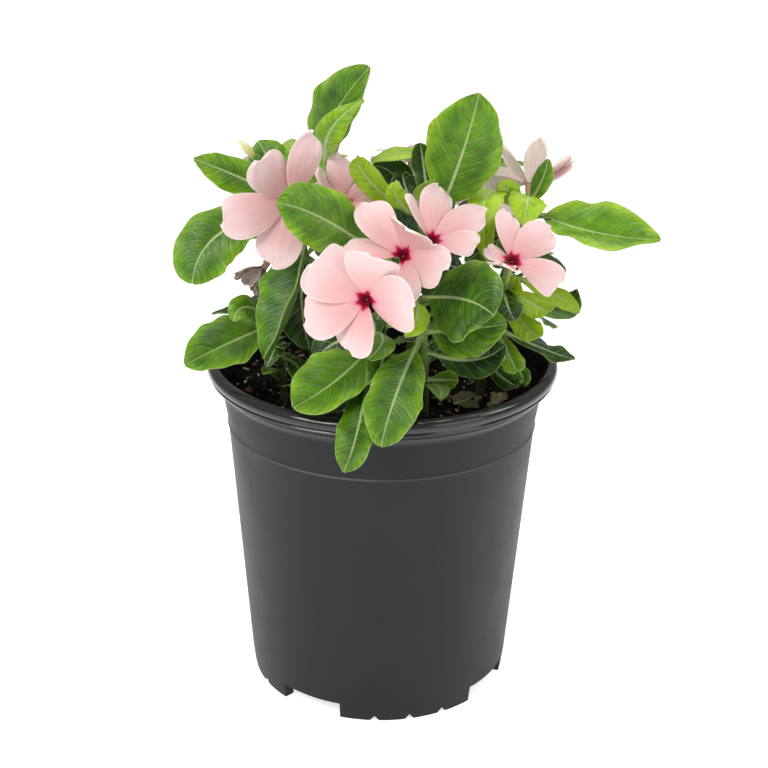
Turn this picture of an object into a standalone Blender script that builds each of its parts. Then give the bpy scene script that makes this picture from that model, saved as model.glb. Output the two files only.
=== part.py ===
"""Potted Madagascar periwinkle: a black nursery pot, its soil, ten leafy stems and their blooms.

Units are metres with +Z up. The plant and the pot share one axis, whose place is POT_X, POT_Y, so
that the origin lies under the middle of the whole outline, at the level of the feet. Places on the
plant are written in millimetres from that axis and from the ground.
"""

import math

import bmesh
import bpy
from mathutils import Vector

MM = 0.001
GAP = 0.3  # clear space between two pieces that touch, in millimetres
POT_X = -17.4
POT_Y = -0.8

# Pot, millimetres
RIM_RADIUS = 84.0
RIM_TOP = 165.0
RIM_BEAD = (  # how far each point is inside the rim's radius and below its top
    (3.0, 0.0), (0.8, 0.9), (0.0, 3.0), (0.6, 4.8), (1.6, 5.4), (1.3, 7.2), (2.8, 8.8),
)
RIM_INNER_INSET = 5.4
WALL = 1.6
NECK_RADIUS = 77.0
NECK_HEIGHT = 151.0
NECK_FLARE = 1.2
NECK_FLARE_HEIGHT = 4.0
STEP_RADIUS = 74.2
STEP_HEIGHT = 133.0
STEP_LEDGE = 0.5
STEP_ROUND = 1.0
FLOOR_RADIUS = 64.8
FLOOR_HEIGHT = 10.0
FLOOR_THICK = 2.0
FLOOR_FILLET = 3.0
POT_SIDES = 40
FOOT_RADIUS = 63.6
FOOT_COUNT = 4
FOOT_SPAN = 61.0
FOOT_TURN = 14.0
FOOT_WALL = 5.0
FOOT_LOBES = 4
NOTCH_DEPTH = 2.6
NOTCH_WIDTH = 4.4
DRAIN_RADIUS = 6.0
DRAIN_CENTRES = 44.0
DRAIN_SIDES = 10
CUT_MARGIN = 3.0  # how far a cutter runs past what it cuts
SECTOR_STEPS = 4

# Soil, millimetres
SOIL_TOP = 148.0
SOIL_MOUND = 2.0
SOIL_CROWN = 0.3  # share of the mound that stands above SOIL_TOP
SOIL_ROLL = 0.6
SOIL_ROLL_X = 0.11
SOIL_ROLL_Y = 0.13
SOIL_EDGE = 1.0
SOIL_SIDES = POT_SIDES // 2
SOIL_RINGS = 3
HOLE_DEPTH = 24.0
HOLE_RADIUS = 4.2
HOLE_SIDES = 8
HOLE_REACH = 14.0

# Stems and stalks, millimetres
STEM_SIDES = 6
STEM_RINGS = 6
STEM_FOOT = 3.0
STEM_TIP = 1.5
STALK_RADIUS = 1.0
STALK_SIDES = 5
STALK_RINGS = 3
STALK_PULL = 0.45
CALYX_RADIUS = 2.0
CALYX_LENGTH = 3.4
CALYX_FLARE = 1.1
CALYX_OVERLAP = 0.4

# Leaves, millimetres
BLADE_THICK = 0.8
PETIOLE_THICK = 2.0
PETIOLE_SHARE = 0.16
PETIOLE_HALF = 1.2
LEAF_RISE = 0.66
LEAF_WAVES = 2.2
LEAF_WAVE_SHIFT = 2.0
WIDE_LEAF = 28.0
SMALL_LEAF = 14.0

# Flowers, millimetres
PETAL_THICK = 0.7
PETAL_ROOT = 2.0
PETAL_SINK = 0.8
PETAL_CUP = 0.12
PETAL_CLAW = 1.4
PETAL_RISE = 0.8
PETAL_BLUNT = 0.36
PETAL_COUNT = 5
LAST_SHARE = 0.985  # an outline is closed a little before its formula runs to nothing
THROAT_RADIUS = 3.6
THROAT_DEPTH = 2.2
THROAT_OVERLAP = 1.0
THROAT_RISE = 1.2
THROAT_SIDES = 7
TUBE_LENGTH = 16.0
TUBE_RADIUS = 1.3
TUBE_FLARE = 1.3
TUBE_SIDES = 5
BUD_SHAPE = ((0.0, 0.45), (0.2, 0.8), (0.45, 1.0), (0.7, 0.8), (0.9, 0.42), (1.0, 0.15))  # share, radius
BUD_SIDES = 8

VIEWER = (0.0, -0.92, 0.38)
SMOOTH_ANGLE = 40.0

POT_COLOUR = (0.03, 0.032, 0.034)
POT_ROUGHNESS = 0.42
SOIL_ROUGHNESS = 0.95
LEAF_ROUGHNESS = 0.45
PETAL_ROUGHNESS = 0.55
FALLEN_ROUGHNESS = 0.8
SOIL_COLOUR = (0.02, 0.014, 0.01)
LEAF_COLOUR = (0.12, 0.3, 0.03)
PETAL_COLOUR = (0.9, 0.47, 0.44)
WILTED_COLOUR = (0.35, 0.22, 0.16)
BUD_COLOUR = (0.85, 0.75, 0.5)
FALLEN_COLOUR = (0.3, 0.26, 0.1)


def leaf(at, mid, tip, width, face=VIEWER, fold=0.18, curl=0.22, wave=0.05, blunt=0.7):
    """One leaf: the share of its stem where it leaves, then a point halfway, its tip and its width."""
    return dict(at=at, mid=mid, tip=tip, width=width, face=face, fold=fold, curl=curl, wave=wave,
                blunt=blunt)


def petal(angle, length=28.0, width=18.0, tip=6.0, lift=22.0, pitch=12.0):
    """One petal: its angle about the eye, its size, and how far it rises at the eye and at its tip."""
    return dict(angle=angle, length=length, width=width, tip=tip, lift=lift, pitch=pitch)


def even_petals(turn, length=27.0, width=18.0):
    """Equal petals all round."""
    return [petal(turn + 360 / PETAL_COUNT * number, length, width) for number in range(PETAL_COUNT)]


def bloom(name, centre, facing, petals, at=1.0):
    """One flower: its eye, the way it faces, its petals and the share of the stem where it leaves."""
    return dict(name=name, centre=centre, facing=facing, petals=petals, at=at)


def bud(name, base, tip, at=1.0, radius=2.6):
    """One closed bud on its own short stalk."""
    return dict(name=name, base=base, tip=tip, at=at, radius=radius)


STEMS = {
    "stem_left": dict(
        path=[(-32, 4), (-33, 2, 176), (-36, -4, 212), (-40, -10, 243)],
        leaves=[
            leaf(0.95, (-73, -24, 232), (-86, -32, 210), 28, face=(-0.25, -0.9, 0.35)),
            leaf(0.99, (-66, -14, 255), (-85, -18, 264), 17, face=(0.05, -0.8, 0.6), blunt=0.85),
            leaf(1.0, (-51, -2, 257), (-58, 4, 267), 20, face=(0.1, -0.9, 0.4)),
            leaf(0.9, (-38, -34, 210), (-53, -44, 179), 32, face=(-0.79, -0.6, 0.0), fold=0.95),
            leaf(0.78, (-37, -26, 199), (-33, -36, 181), 21, face=(0.1, -0.9, 0.4)),
            leaf(0.72, (-46, 18, 208), (-56, 34, 202), 20, face=(-0.3, 0.3, 0.9)),
            leaf(0.7, (-20, -18, 204), (-12, -26, 192), 16, face=(0.2, -0.7, 0.7)),
        ],
        blooms=[bloom("bloom_wilted", (-56, -14, 211), (-0.6, -0.3, -0.74), [
            petal(20, 13, 8, tip=70, lift=60), petal(110, 12, 9, tip=75, lift=60),
            petal(190, 14, 8, tip=60, lift=50), petal(290, 12, 8, tip=80, lift=60)], at=0.7),
            bloom("bloom_upper_left", (-40.4, -38, 251.6), (0.24, -0.96, 0.13), [
            petal(73, 30, 15), petal(131, 25, 20, tip=20), petal(196, 32, 20), petal(252, 30, 20),
            petal(335, 26, 18)], at=0.96)],
        buds=[bud("bud_left", (-59, -6, 262), (-66, -10, 271), at=0.98)],
    ),
    "stem_top_left": dict(
        path=[(-14, 22), (-17, 20, 190), (-21, 16, 224), (-27, 12, 253)],
        leaves=[
            leaf(0.98, (-23, 7, 275.5), (-6.5, 4, 301), 29, face=(-0.7, -0.66, 0.3), fold=0.5, blunt=0.85),
            leaf(1.0, (-24.5, -14, 276.5), (-7, -12, 293), 13, face=(-0.1, -0.95, 0.3), blunt=1.1),
            leaf(0.92, (-38, 34, 252), (-48, 46, 248), 20, face=(-0.3, 0.2, 0.93)),
            leaf(0.66, (-36, 30, 232), (-52, 34, 232), 18, face=(-0.2, 0.3, 0.9)),
            leaf(0.6, (-4, 12, 222), (6, 4, 226), 16, face=(0.1, -0.5, 0.85)),
        ],
        blooms=[bloom("bloom_back_left", (-18.5, -12, 242.5), (0.1, -0.72, 0.68), [
            petal(97, 22, 13), petal(140, 20, 12, tip=40, pitch=50), petal(30, 20, 15), petal(330, 15, 12),
            petal(215, 14, 12)], at=0.93)],
        buds=[],
    ),
    "stem_front": dict(
        path=[(20, -34), (19, -38, 178), (17, -40, 200), (8, -36, 218)],
        leaves=[
            leaf(0.5, (7, -80, 180), (0, -100, 162), 24, face=(0.15, -0.7, 0.7)),
            leaf(0.5, (33, -52, 197), (54, -60, 203), 26, face=(0.1, -0.9, 0.45)),
            leaf(0.78, (33, -70, 218), (46, -88, 217), 36, face=(-0.35, -0.8, 0.5)),
            leaf(0.8, (15, -58, 206), (10, -66, 199), 12, face=(0.1, -0.9, 0.4)),
            leaf(0.38, (40, -42, 179), (55, -46, 188), 17, face=(0.1, -0.9, 0.4)),
            leaf(1.0, (-23, -54, 246), (-45, -64, 257), 28, face=(-0.1, -0.8, 0.6)),
            leaf(0.24, (25, -50, 169), (26, -58, 166), 10, face=(0.1, -0.5, -0.85)),
            leaf(0.26, (29, -44, 170), (34, -50, 172), 9, face=(0.1, -0.9, 0.4)),
            leaf(0.9, (-12, -33, 228), (-30, -36, 226), 24, face=(-0.1, -0.9, 0.4)),
            leaf(0.85, (20, -26, 212), (30, -27, 203), 20, face=(0.1, -0.9, 0.4)),
        ],
        blooms=[
            bloom("bloom_front", (-7, -88, 223), (-0.35, -0.93, 0.02), [
                petal(76, 23, 23, tip=20), petal(147, 27, 25, tip=12), petal(204, 29, 20),
                petal(255, 24, 18), petal(362, 23, 26, tip=14)], at=0.96),
            bloom("bloom_middle", (8, -64, 235), (-0.27, -0.71, 0.64), [
                petal(44, 15, 17, tip=25), petal(122, 30, 17), petal(166, 26, 11), petal(273, 23, 16),
                petal(329, 24, 19, tip=18)], at=0.98),
            bloom("bloom_inner_right", (21, -38, 234), (0.05, -0.54, 0.84), [
                petal(84, 30, 15), petal(118, 22, 10, tip=20, pitch=60), petal(34, 28, 16),
                petal(346, 21, 13, tip=16), petal(225, 15, 14)], at=1.0),
        ],
        buds=[],
    ),
    "stem_front_low": dict(
        path=[(-8, -34), (-6, -38, 172), (-2, -44, 192)],
        leaves=[
            leaf(0.9, (-18, -64, 179), (-38, -76, 169), 31, face=(-0.31, -0.64, 0.7), fold=0.5),
            leaf(0.7, (-9.5, -86, 166), (-15.5, -100, 150.5), 18, face=(-0.3, -0.85, 0.4), fold=0.3),
            leaf(0.97, (0, -66, 187), (-6, -76, 181), 13, face=(0.1, -0.9, 0.45)),
            leaf(1.0, (0, -66, 196), (-6, -76, 192), 12, face=(0.1, -0.2, 0.97)),
            leaf(0.35, (-22, -60, 166), (-31, -66, 163), 14, face=(-0.1, -0.6, 0.8)),
            leaf(0.9, (-20, -50, 190), (-30, -50, 179), 17, face=(-0.1, -0.85, 0.5)),
        ],
        blooms=[],
        buds=[],
    ),
    "stem_top": dict(
        path=[(12, 0), (14, 0, 184), (18, -2, 214), (24, -6, 234)],
        leaves=[
            leaf(0.98, (33, -11, 264), (41, -14, 294), 32, face=(-0.15, -0.95, 0.3)),
            leaf(0.96, (26, 12, 264), (28, 16, 277), 15, face=(0.2, -0.9, 0.4)),
            leaf(1.0, (18, -7, 245), (36, -6, 253), 11, face=(0.3, 0.6, 0.75)),
            leaf(0.9, (18, 4, 255), (16, 4, 267), 11, face=(-0.3, -0.8, 0.5)),
            leaf(0.92, (7, -18, 245), (6, -20, 255), 10, face=(0.0, -0.95, 0.3)),
            leaf(0.86, (-6, -14, 253), (-12, -18, 266), 12, face=(0.3, -0.9, 0.3)),
            leaf(0.78, (10, 4, 245), (9, 8, 252), 12, face=(0.1, -0.9, 0.4)),
            leaf(0.6, (2, 6, 206), (-8, 10, 208), 16, face=(-0.1, -0.5, 0.85)),
            leaf(0.66, (32, 12, 206), (40, 20, 200), 22, face=(0.2, -0.6, 0.8)),
            leaf(0.72, (8, -14, 228), (3, -20, 243), 20, face=(0.0, -0.95, 0.3)),
        ],
        blooms=[],
        buds=[bud("bud_middle", (9, -7, 243), (5, -9, 253), at=0.95, radius=2.0)],
    ),
    "stem_right": dict(
        path=[(46, -10), (48, -12, 176), (52, -12, 198), (56, -10, 212)],
        leaves=[
            leaf(0.8, (65, -28, 191), (72, -36, 189), 13, face=(0.2, -0.8, 0.6)),
            leaf(0.84, (70, -24, 199), (76, -32, 200), 14, face=(0.2, -0.7, 0.7)),
            leaf(0.88, (56, -34, 203), (59, -44, 199), 13, face=(0.0, -0.85, 0.5)),
            leaf(0.9, (58, -20, 206), (60, -26, 214), 12, face=(0.1, -0.95, 0.2)),
            leaf(0.45, (76, -14, 174), (90, -18, 171), 10, face=(0.2, -0.4, 0.9), wave=0.3),
            leaf(0.95, (77, -16, 203), (89, -28, 197), 11, face=(0.1, -0.5, 0.85)),
            leaf(0.74, (82, 2, 190), (92, 6, 197), 15, face=(0.1, -0.7, 0.7)),
            leaf(0.5, (58, -38, 179), (61, -46, 175), 11, face=(0.1, -0.85, 0.5)),
            leaf(0.36, (63, -32, 170), (62, -38, 166), 8, face=(0.1, -0.8, 0.6)),
            leaf(0.28, (57, -22, 162), (64, -28, 161), 10, face=(0.1, -0.6, 0.8)),
            leaf(0.26, (42, -26, 167), (38, -34, 175), 10, face=(-0.1, -0.9, 0.4)),
        ],
        blooms=[bloom("bloom_right", (57, -38, 225), (0.1, -0.54, 0.84), [
            petal(95, 27, 12), petal(47, 26, 17), petal(327, 24, 15, pitch=30), petal(238, 18, 15, tip=45),
            petal(158, 13, 11)], at=1.0)],
        buds=[],
    ),
    "stem_right_back": dict(
        path=[(54, 20), (58, 16, 190), (63, 10, 220), (66, 6, 238)],
        leaves=[
            leaf(0.97, (96, -2, 227), (127, -10, 227), 30, face=(0.1, -0.45, 0.9), fold=0.6),
            leaf(0.99, (72, 4, 249), (75, 6, 260), 10, face=(-0.5, -0.8, 0.3)),
            leaf(1.0, (66, -3, 244), (63, -12, 233), 18, face=(0.1, -0.8, 0.6)),
            leaf(0.96, (58, 0, 245), (52, -4, 251), 11, face=(-0.1, -0.9, 0.4)),
            leaf(0.92, (47, -6, 246), (47, -22, 219), 17, face=(-0.4, -0.7, 0.5)),
            leaf(0.7, (76, -2, 212), (84, -8, 208), 14, face=(0.3, -0.6, 0.7)),
            leaf(0.66, (70, 30, 210), (84, 40, 204), 20, face=(0.3, 0.4, 0.85)),
            leaf(0.4, (74, 20, 180), (86, 22, 172), 20, face=(0.3, 0.1, 0.95)),
        ],
        blooms=[bloom("bloom_far_right", (69, 32, 242), (0.05, 0.55, 0.83), [
            petal(274, 28, 11, tip=32), petal(229, 25, 6, tip=30), petal(352, 24, 13, tip=30, pitch=40),
            petal(334, 23, 12, tip=34), petal(150, 24, 16)], at=0.94)],
        buds=[],
    ),
    "stem_low_left": dict(
        path=[(-44, -16), (-48, -16, 168), (-52, -16, 186)],
        leaves=[
            leaf(0.95, (-69, -28, 181), (-90, -38, 173), 29, face=(-0.3, -0.64, 0.7), fold=0.4),
            leaf(1.0, (-62, -28, 198), (-68, -34, 193), 12, face=(-0.2, -0.85, 0.5)),
            leaf(0.6, (-49, -26, 178), (-53, -34, 171), 9, face=(-0.1, -0.8, 0.6)),
            leaf(0.5, (-39, -26, 168), (-40, -34, 161), 10, face=(0.1, -0.8, 0.6)),
            leaf(0.8, (-62, 2, 184), (-74, 14, 176), 20, face=(-0.5, 0.1, 0.85)),
        ],
        blooms=[],
        buds=[],
    ),
    "stem_back_left": dict(
        path=[(-34, 40), (-38, 44, 184), (-42, 46, 208), (-44, 46, 226)],
        leaves=[
            leaf(0.98, (-64, 53, 241), (-85, 61, 236), 26, face=(-0.3, 0.2, 0.92)),
            leaf(0.97, (-34, 63, 243), (-26, 86, 238), 26, face=(0.1, 0.5, 0.85)),
            leaf(1.0, (-46, 56, 242), (-46, 64, 254), 16, face=(-0.1, 0.8, 0.5)),
            leaf(0.7, (-60, 60, 206), (-82, 74, 194), 27, face=(-0.4, 0.4, 0.8)),
            leaf(0.7, (-22, 60, 208), (-2, 74, 200), 25, face=(0.2, 0.5, 0.85)),
            leaf(0.45, (-60, 40, 180), (-85, 34, 172), 26, face=(-0.5, 0.1, 0.85)),
            leaf(0.85, (-22, 40, 222), (-4, 34, 220), 22, face=(0.1, -0.3, 0.95)),
            leaf(0.42, (-40, 68, 180), (-42, 93, 170), 27, face=(-0.1, 0.6, 0.8)),
        ],
        blooms=[bloom("bloom_back_low", (-56, 88, 222), (-0.35, 0.85, 0.4), even_petals(10), at=0.9)],
        buds=[],
    ),
    "stem_back_right": dict(
        path=[(26, 42), (28, 46, 186), (32, 48, 212), (34, 48, 230)],
        leaves=[
            leaf(0.98, (54, 53, 246), (78, 58, 240), 26, face=(0.3, 0.2, 0.92)),
            leaf(0.97, (24, 68, 245), (16, 90, 240), 26, face=(-0.1, 0.5, 0.87)),
            leaf(1.0, (36, 60, 246), (38, 70, 256), 16, face=(0.1, 0.8, 0.5)),
            leaf(0.7, (52, 62, 208), (70, 78, 198), 27, face=(0.4, 0.5, 0.78)),
            leaf(0.7, (17, 64, 206), (4, 82, 196), 25, face=(-0.2, 0.5, 0.85)),
            leaf(0.45, (50, 48, 180), (76, 50, 172), 26, face=(0.5, 0.1, 0.85)),
            leaf(0.42, (24, 70, 180), (18, 94, 170), 27, face=(0.0, 0.6, 0.8)),
            leaf(0.82, (46, 30, 222), (52, 14, 216), 22, face=(0.2, -0.4, 0.9)),
            leaf(0.99, (20, 22, 257), (-6, 4, 258), 15, face=(0.0, -0.3, 0.95)),
        ],
        blooms=[
            bloom("bloom_back_top", (12, 51, 250), (-0.1, 0.1, 0.99), even_petals(-14, 20, 16), at=0.94),
            bloom("bloom_back_mid", (50, 90, 220), (0.3, 0.85, 0.45), even_petals(20), at=0.88),
        ],
        buds=[],
    ),
}

# Fallen leaves on the soil: foot, middle and tip (x, y), width, fold, curl and wave
FALLEN = {
    "fallen_leaf": ((47, -18), (42, -19), (34, -25), 15, 0.05, 0.12, 0.06),
    "dry_scrap": ((50, -26), (55, -18), (57, -9), 8, 0.3, 0.05, 0.3),
}
FALLEN_CLEAR = 0.8  # height of the middle of a fallen blade over the soil

# Shares of the length, and of half the width, at which a blade is drawn
LEAF_STATIONS = (0.0, 0.16, 0.36, 0.62, 0.87, 1.0)
SMALL_LEAF_STATIONS = (0.0, 0.16, 0.45, 0.8, 1.0)
PETAL_STATIONS = (0.0, 0.3, 0.66, 0.92, 1.0)
WIDE_COLUMNS = (-1.0, -0.5, 0.0, 0.5, 1.0)
NARROW_COLUMNS = (-1.0, 0.0, 1.0)


def clear_scene():
    for obj in list(bpy.data.objects):
        bpy.data.objects.remove(obj, do_unlink=True)


def material(name, colour, roughness, metallic=0.0):
    mat = bpy.data.materials.new(name)
    mat.use_nodes = True
    shader = mat.node_tree.nodes["Principled BSDF"]
    shader.inputs["Base Color"].default_value = (*colour, 1.0)
    shader.inputs["Roughness"].default_value = roughness
    shader.inputs["Metallic"].default_value = metallic
    return mat


def object_of(name, verts, faces):
    """A mesh object from points in millimetres, linked to the scene."""
    mesh = bpy.data.meshes.new(name)
    mesh.from_pydata([Vector(v) * MM for v in verts], [], faces)
    mesh.validate()
    shell = bmesh.new()
    shell.from_mesh(mesh)
    bmesh.ops.recalc_face_normals(shell, faces=shell.faces)
    shell.to_mesh(mesh)
    shell.free()
    obj = bpy.data.objects.new(name, mesh)
    bpy.context.scene.collection.objects.link(obj)
    return obj


def finish(obj, mat):
    """Gives a node its material and its shading."""
    obj.data.materials.clear()
    obj.data.materials.append(mat)
    obj.data.shade_smooth()
    obj.data.set_sharp_from_angle(angle=math.radians(SMOOTH_ANGLE))
    return obj


def boolean(obj, others, operation, solver="EXACT"):
    """Joins or cuts an object with a list of others in one step, and removes them."""
    group = bpy.data.collections.new(obj.name + "_tools")
    bpy.context.scene.collection.children.link(group)
    for other in others:
        group.objects.link(other)
    modifier = obj.modifiers.new(operation.lower(), "BOOLEAN")
    modifier.operation = operation
    modifier.operand_type = "COLLECTION"
    modifier.collection = group
    modifier.solver = solver
    graph = bpy.context.evaluated_depsgraph_get()
    mesh = bpy.data.meshes.new_from_object(obj.evaluated_get(graph))
    obj.modifiers.clear()
    obj.data = mesh
    for other in others:
        bpy.data.objects.remove(other, do_unlink=True)
    bpy.data.collections.remove(group)
    return obj


def circle(radius, sides, height):
    """Points on a level circle about the axis."""
    angles = [2 * math.pi * side / sides for side in range(sides)]
    return [(radius * math.cos(angle), radius * math.sin(angle), height) for angle in angles]


def revolve(name, profile, sides):
    """A closed ring or disc: the profile's (radius, height) points turned about the axis."""
    verts = []
    rings = []
    for radius, height in profile:
        if radius == 0:
            rings.append([len(verts)] * sides)
            verts.append((0.0, 0.0, height))
        else:
            rings.append(list(range(len(verts), len(verts) + sides)))
            verts += circle(radius, sides, height)
    faces = []
    for ring, after in zip(rings, rings[1:] + rings[:1]):
        for side in range(sides):
            nxt = (side + 1) % sides
            corners = [ring[side], ring[nxt], after[nxt], after[side]]
            face = list(dict.fromkeys(corners))
            if len(face) > 2:
                faces.append(face)
    return object_of(name, verts, faces)


def tube(name, points, radii, sides):
    """A closed rod along a list of points, with a radius at each."""
    verts = []
    across = None
    for index, point in enumerate(points):
        before = points[max(index - 1, 0)]
        after = points[min(index + 1, len(points) - 1)]
        along = (after - before).normalized()
        if across is None:
            across = along.orthogonal().normalized()
        across = (across - along * across.dot(along)).normalized()
        side_way = along.cross(across)
        for side in range(sides):
            angle = 2 * math.pi * side / sides
            ring = across * math.cos(angle) + side_way * math.sin(angle)
            verts.append(point + ring * radii[index])
    faces = [list(range(sides)), list(range(len(verts) - sides, len(verts)))]
    for index in range(len(points) - 1):
        low = index * sides
        for side in range(sides):
            nxt = (side + 1) % sides
            faces.append([low + side, low + nxt, low + sides + nxt, low + sides + side])
    return object_of(name, verts, faces)


def cylinder(name, foot, top, radius, top_radius, sides):
    """A closed tapered rod between two points."""
    return tube(name, [Vector(foot), Vector(top)], [radius, top_radius], sides)


def smooth_points(points, count):
    """Points along one smooth curve through the given ones."""
    points = [Vector(p) for p in points]
    ends = [points[0] * 2 - points[1]] + points + [points[-1] * 2 - points[-2]]
    found = []
    for step in range(count + 1):
        place = step / count * (len(points) - 1)
        span = min(int(place), len(points) - 2)
        t = place - span
        before, start, end, after = ends[span:span + 4]
        found.append(0.5 * (
            2 * start + (end - before) * t
            + (2 * before - 5 * start + 4 * end - after) * t ** 2
            + (3 * start - before - 3 * end + after) * t ** 3
        ))
    return found


def blade(name, grid, thick):
    """A thin closed sheet over a grid of points, split into the same triangles on both faces."""
    rows = len(grid)
    columns = len(grid[0])
    verts = []
    for row in range(rows):
        for column in range(columns):
            low = grid[max(row - 1, 0)][column]
            high = grid[min(row + 1, rows - 1)][column]
            left = grid[row][max(column - 1, 0)]
            right = grid[row][min(column + 1, columns - 1)]
            normal = (right - left).cross(high - low).normalized()
            half = normal * thick[row] / 2
            verts += [grid[row][column] + half, grid[row][column] - half]

    def spot(row, column, under):
        return 2 * (row * columns + column) + under

    faces = []
    for row in range(rows - 1):
        for column in range(columns - 1):
            for under in (0, 1):
                a = spot(row, column, under)
                b = spot(row, column + 1, under)
                c = spot(row + 1, column + 1, under)
                d = spot(row + 1, column, under)
                faces += [[a, b, c], [a, c, d]] if column < columns // 2 else [[a, b, d], [b, c, d]]
        for column in (0, columns - 1):
            faces.append([spot(row, column, 0), spot(row + 1, column, 0),
                          spot(row + 1, column, 1), spot(row, column, 1)])
    for row in (0, rows - 1):
        for column in range(columns - 1):
            faces.append([spot(row, column, 0), spot(row, column + 1, 0),
                          spot(row, column + 1, 1), spot(row, column, 1)])
    return object_of(name, verts, faces)


def outline(share, rise, blunt):
    """How wide a leaf or petal is at a share of its length, from 0 to 1 at its widest."""
    peak = rise / (rise + blunt)
    part = min(share, LAST_SHARE)
    return (part / peak) ** rise * ((1 - part) / (1 - peak)) ** blunt


def leaf_half_width(share, width, blunt):
    """Half the width of a leaf at a share of its length: a narrow stalk, then an oblong blade."""
    if share <= PETIOLE_SHARE:
        return PETIOLE_HALF
    part = (share - PETIOLE_SHARE) / (1 - PETIOLE_SHARE)
    return max(PETIOLE_HALF, width / 2 * outline(part, LEAF_RISE, blunt))


def leaf_grid(base, spec, stations, columns):
    """Points over a leaf, from its stalk to its tip."""
    base = Vector(base)
    tip = Vector(spec["tip"])
    bend = Vector(spec["mid"]) * 2 - (base + tip) / 2
    side_mid = (tip - base).cross(Vector(spec["face"])).normalized()
    grid = []
    for share in stations:
        centre = base * (1 - share) ** 2 + bend * 2 * share * (1 - share) + tip * share ** 2
        along = ((bend - base) * (1 - share) + (tip - bend) * share).normalized()
        across = (side_mid - along * side_mid.dot(along)).normalized()
        up = across.cross(along)
        half = leaf_half_width(share, spec["width"], spec["blunt"])
        row = []
        for column in columns:
            rise = spec["fold"] * abs(column) - spec["curl"] * column ** 2
            ripple = math.sin(2 * math.pi * LEAF_WAVES * share + LEAF_WAVE_SHIFT * column)
            rise += spec["wave"] * ripple * column ** 2
            row.append(centre + across * column * half + up * rise * half)
        grid.append(row)
    return grid


def leaf_blade(name, base, spec):
    columns = WIDE_COLUMNS if spec["width"] >= WIDE_LEAF else NARROW_COLUMNS
    stations = SMALL_LEAF_STATIONS if spec["width"] < SMALL_LEAF else LEAF_STATIONS
    thick = [PETIOLE_THICK if share < PETIOLE_SHARE else BLADE_THICK for share in stations]
    return blade(name, leaf_grid(base, spec, stations, columns), thick)


def bloom_frame(spec):
    """The way a flower faces and the two directions across it, rightwards and upwards."""
    facing = Vector(spec["facing"]).normalized()
    right = Vector((1, 0, 0))
    right = (right - facing * right.dot(facing)).normalized()
    return facing, right, facing.cross(right)


def petal_grid(spec, number, stations, columns):
    """Points over one petal, from the eye outwards, tilted like the blade of a pinwheel."""
    facing, right, up = bloom_frame(spec)
    own = spec["petals"][number]
    angle = math.radians(own["angle"])
    outward = right * math.cos(angle) + up * math.sin(angle)
    tangent = facing.cross(outward)
    pitch = math.radians(own["pitch"])
    root = Vector(spec["centre"]) + outward * PETAL_ROOT - facing * PETAL_SINK
    grid = []
    for share in stations:
        bend = math.radians(own["lift"] * (1 - share) + own["tip"] * share)
        spot = outward * math.cos(bend) + facing * math.sin(bend)
        rise = facing * math.cos(bend) - outward * math.sin(bend)
        across = tangent * math.cos(pitch) + rise * math.sin(pitch)
        over = rise * math.cos(pitch) - tangent * math.sin(pitch)
        centre = root + spot * (own["length"] - PETAL_ROOT) * share
        half = max(PETAL_CLAW, own["width"] / 2 * outline(share, PETAL_RISE, PETAL_BLUNT))
        grid.append([centre + across * c * half - over * PETAL_CUP * c * c * half for c in columns])
    return grid


def flower(spec):
    """One bloom: its petals, the throat that holds them and the tube behind."""
    facing = bloom_frame(spec)[0]
    centre = Vector(spec["centre"])
    neck = centre - facing * THROAT_DEPTH
    body = cylinder(spec["name"], centre - facing * TUBE_LENGTH, neck, TUBE_RADIUS,
                    TUBE_RADIUS * TUBE_FLARE, TUBE_SIDES)
    pieces = [cylinder("throat", neck - facing * THROAT_OVERLAP, centre + facing * THROAT_RISE,
                       TUBE_RADIUS, THROAT_RADIUS, THROAT_SIDES)]
    for number in range(len(spec["petals"])):
        grid = petal_grid(spec, number, PETAL_STATIONS, NARROW_COLUMNS)
        pieces.append(blade("petal", grid, [PETAL_THICK] * len(PETAL_STATIONS)))
    return boolean(body, pieces, "UNION")


def stem_points(spec):
    """The middle line of a stem, from the foot of its hole in the soil to its growing tip."""
    x, y = spec["path"][0]
    foot = (x, y, SOIL_TOP - HOLE_DEPTH + GAP)
    return smooth_points([foot] + spec["path"][1:], STEM_RINGS)


def stem_spot(points, share):
    """The point at a share of a stem's length."""
    place = share * (len(points) - 1)
    low = min(int(place), len(points) - 2)
    return points[low].lerp(points[low + 1], place - low)


def stalk(start, end, way):
    """A thin stalk from a stem out to the foot of a flower or bud, ending in its calyx."""
    end = Vector(end)
    way = Vector(way).normalized()
    foot = end - way * CALYX_LENGTH
    control = foot - way * (foot - start).length * STALK_PULL
    points = []
    for step in range(STALK_RINGS + 1):
        t = step / STALK_RINGS
        points.append(start * (1 - t) ** 2 + control * 2 * t * (1 - t) + foot * t ** 2)
    rod = tube("stalk", points, [STALK_RADIUS] * len(points), STALK_SIDES)
    cup = cylinder("calyx", foot - way * CALYX_OVERLAP, end, STALK_RADIUS * CALYX_FLARE,
                   CALYX_RADIUS, STALK_SIDES)
    return [rod, cup]


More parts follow.
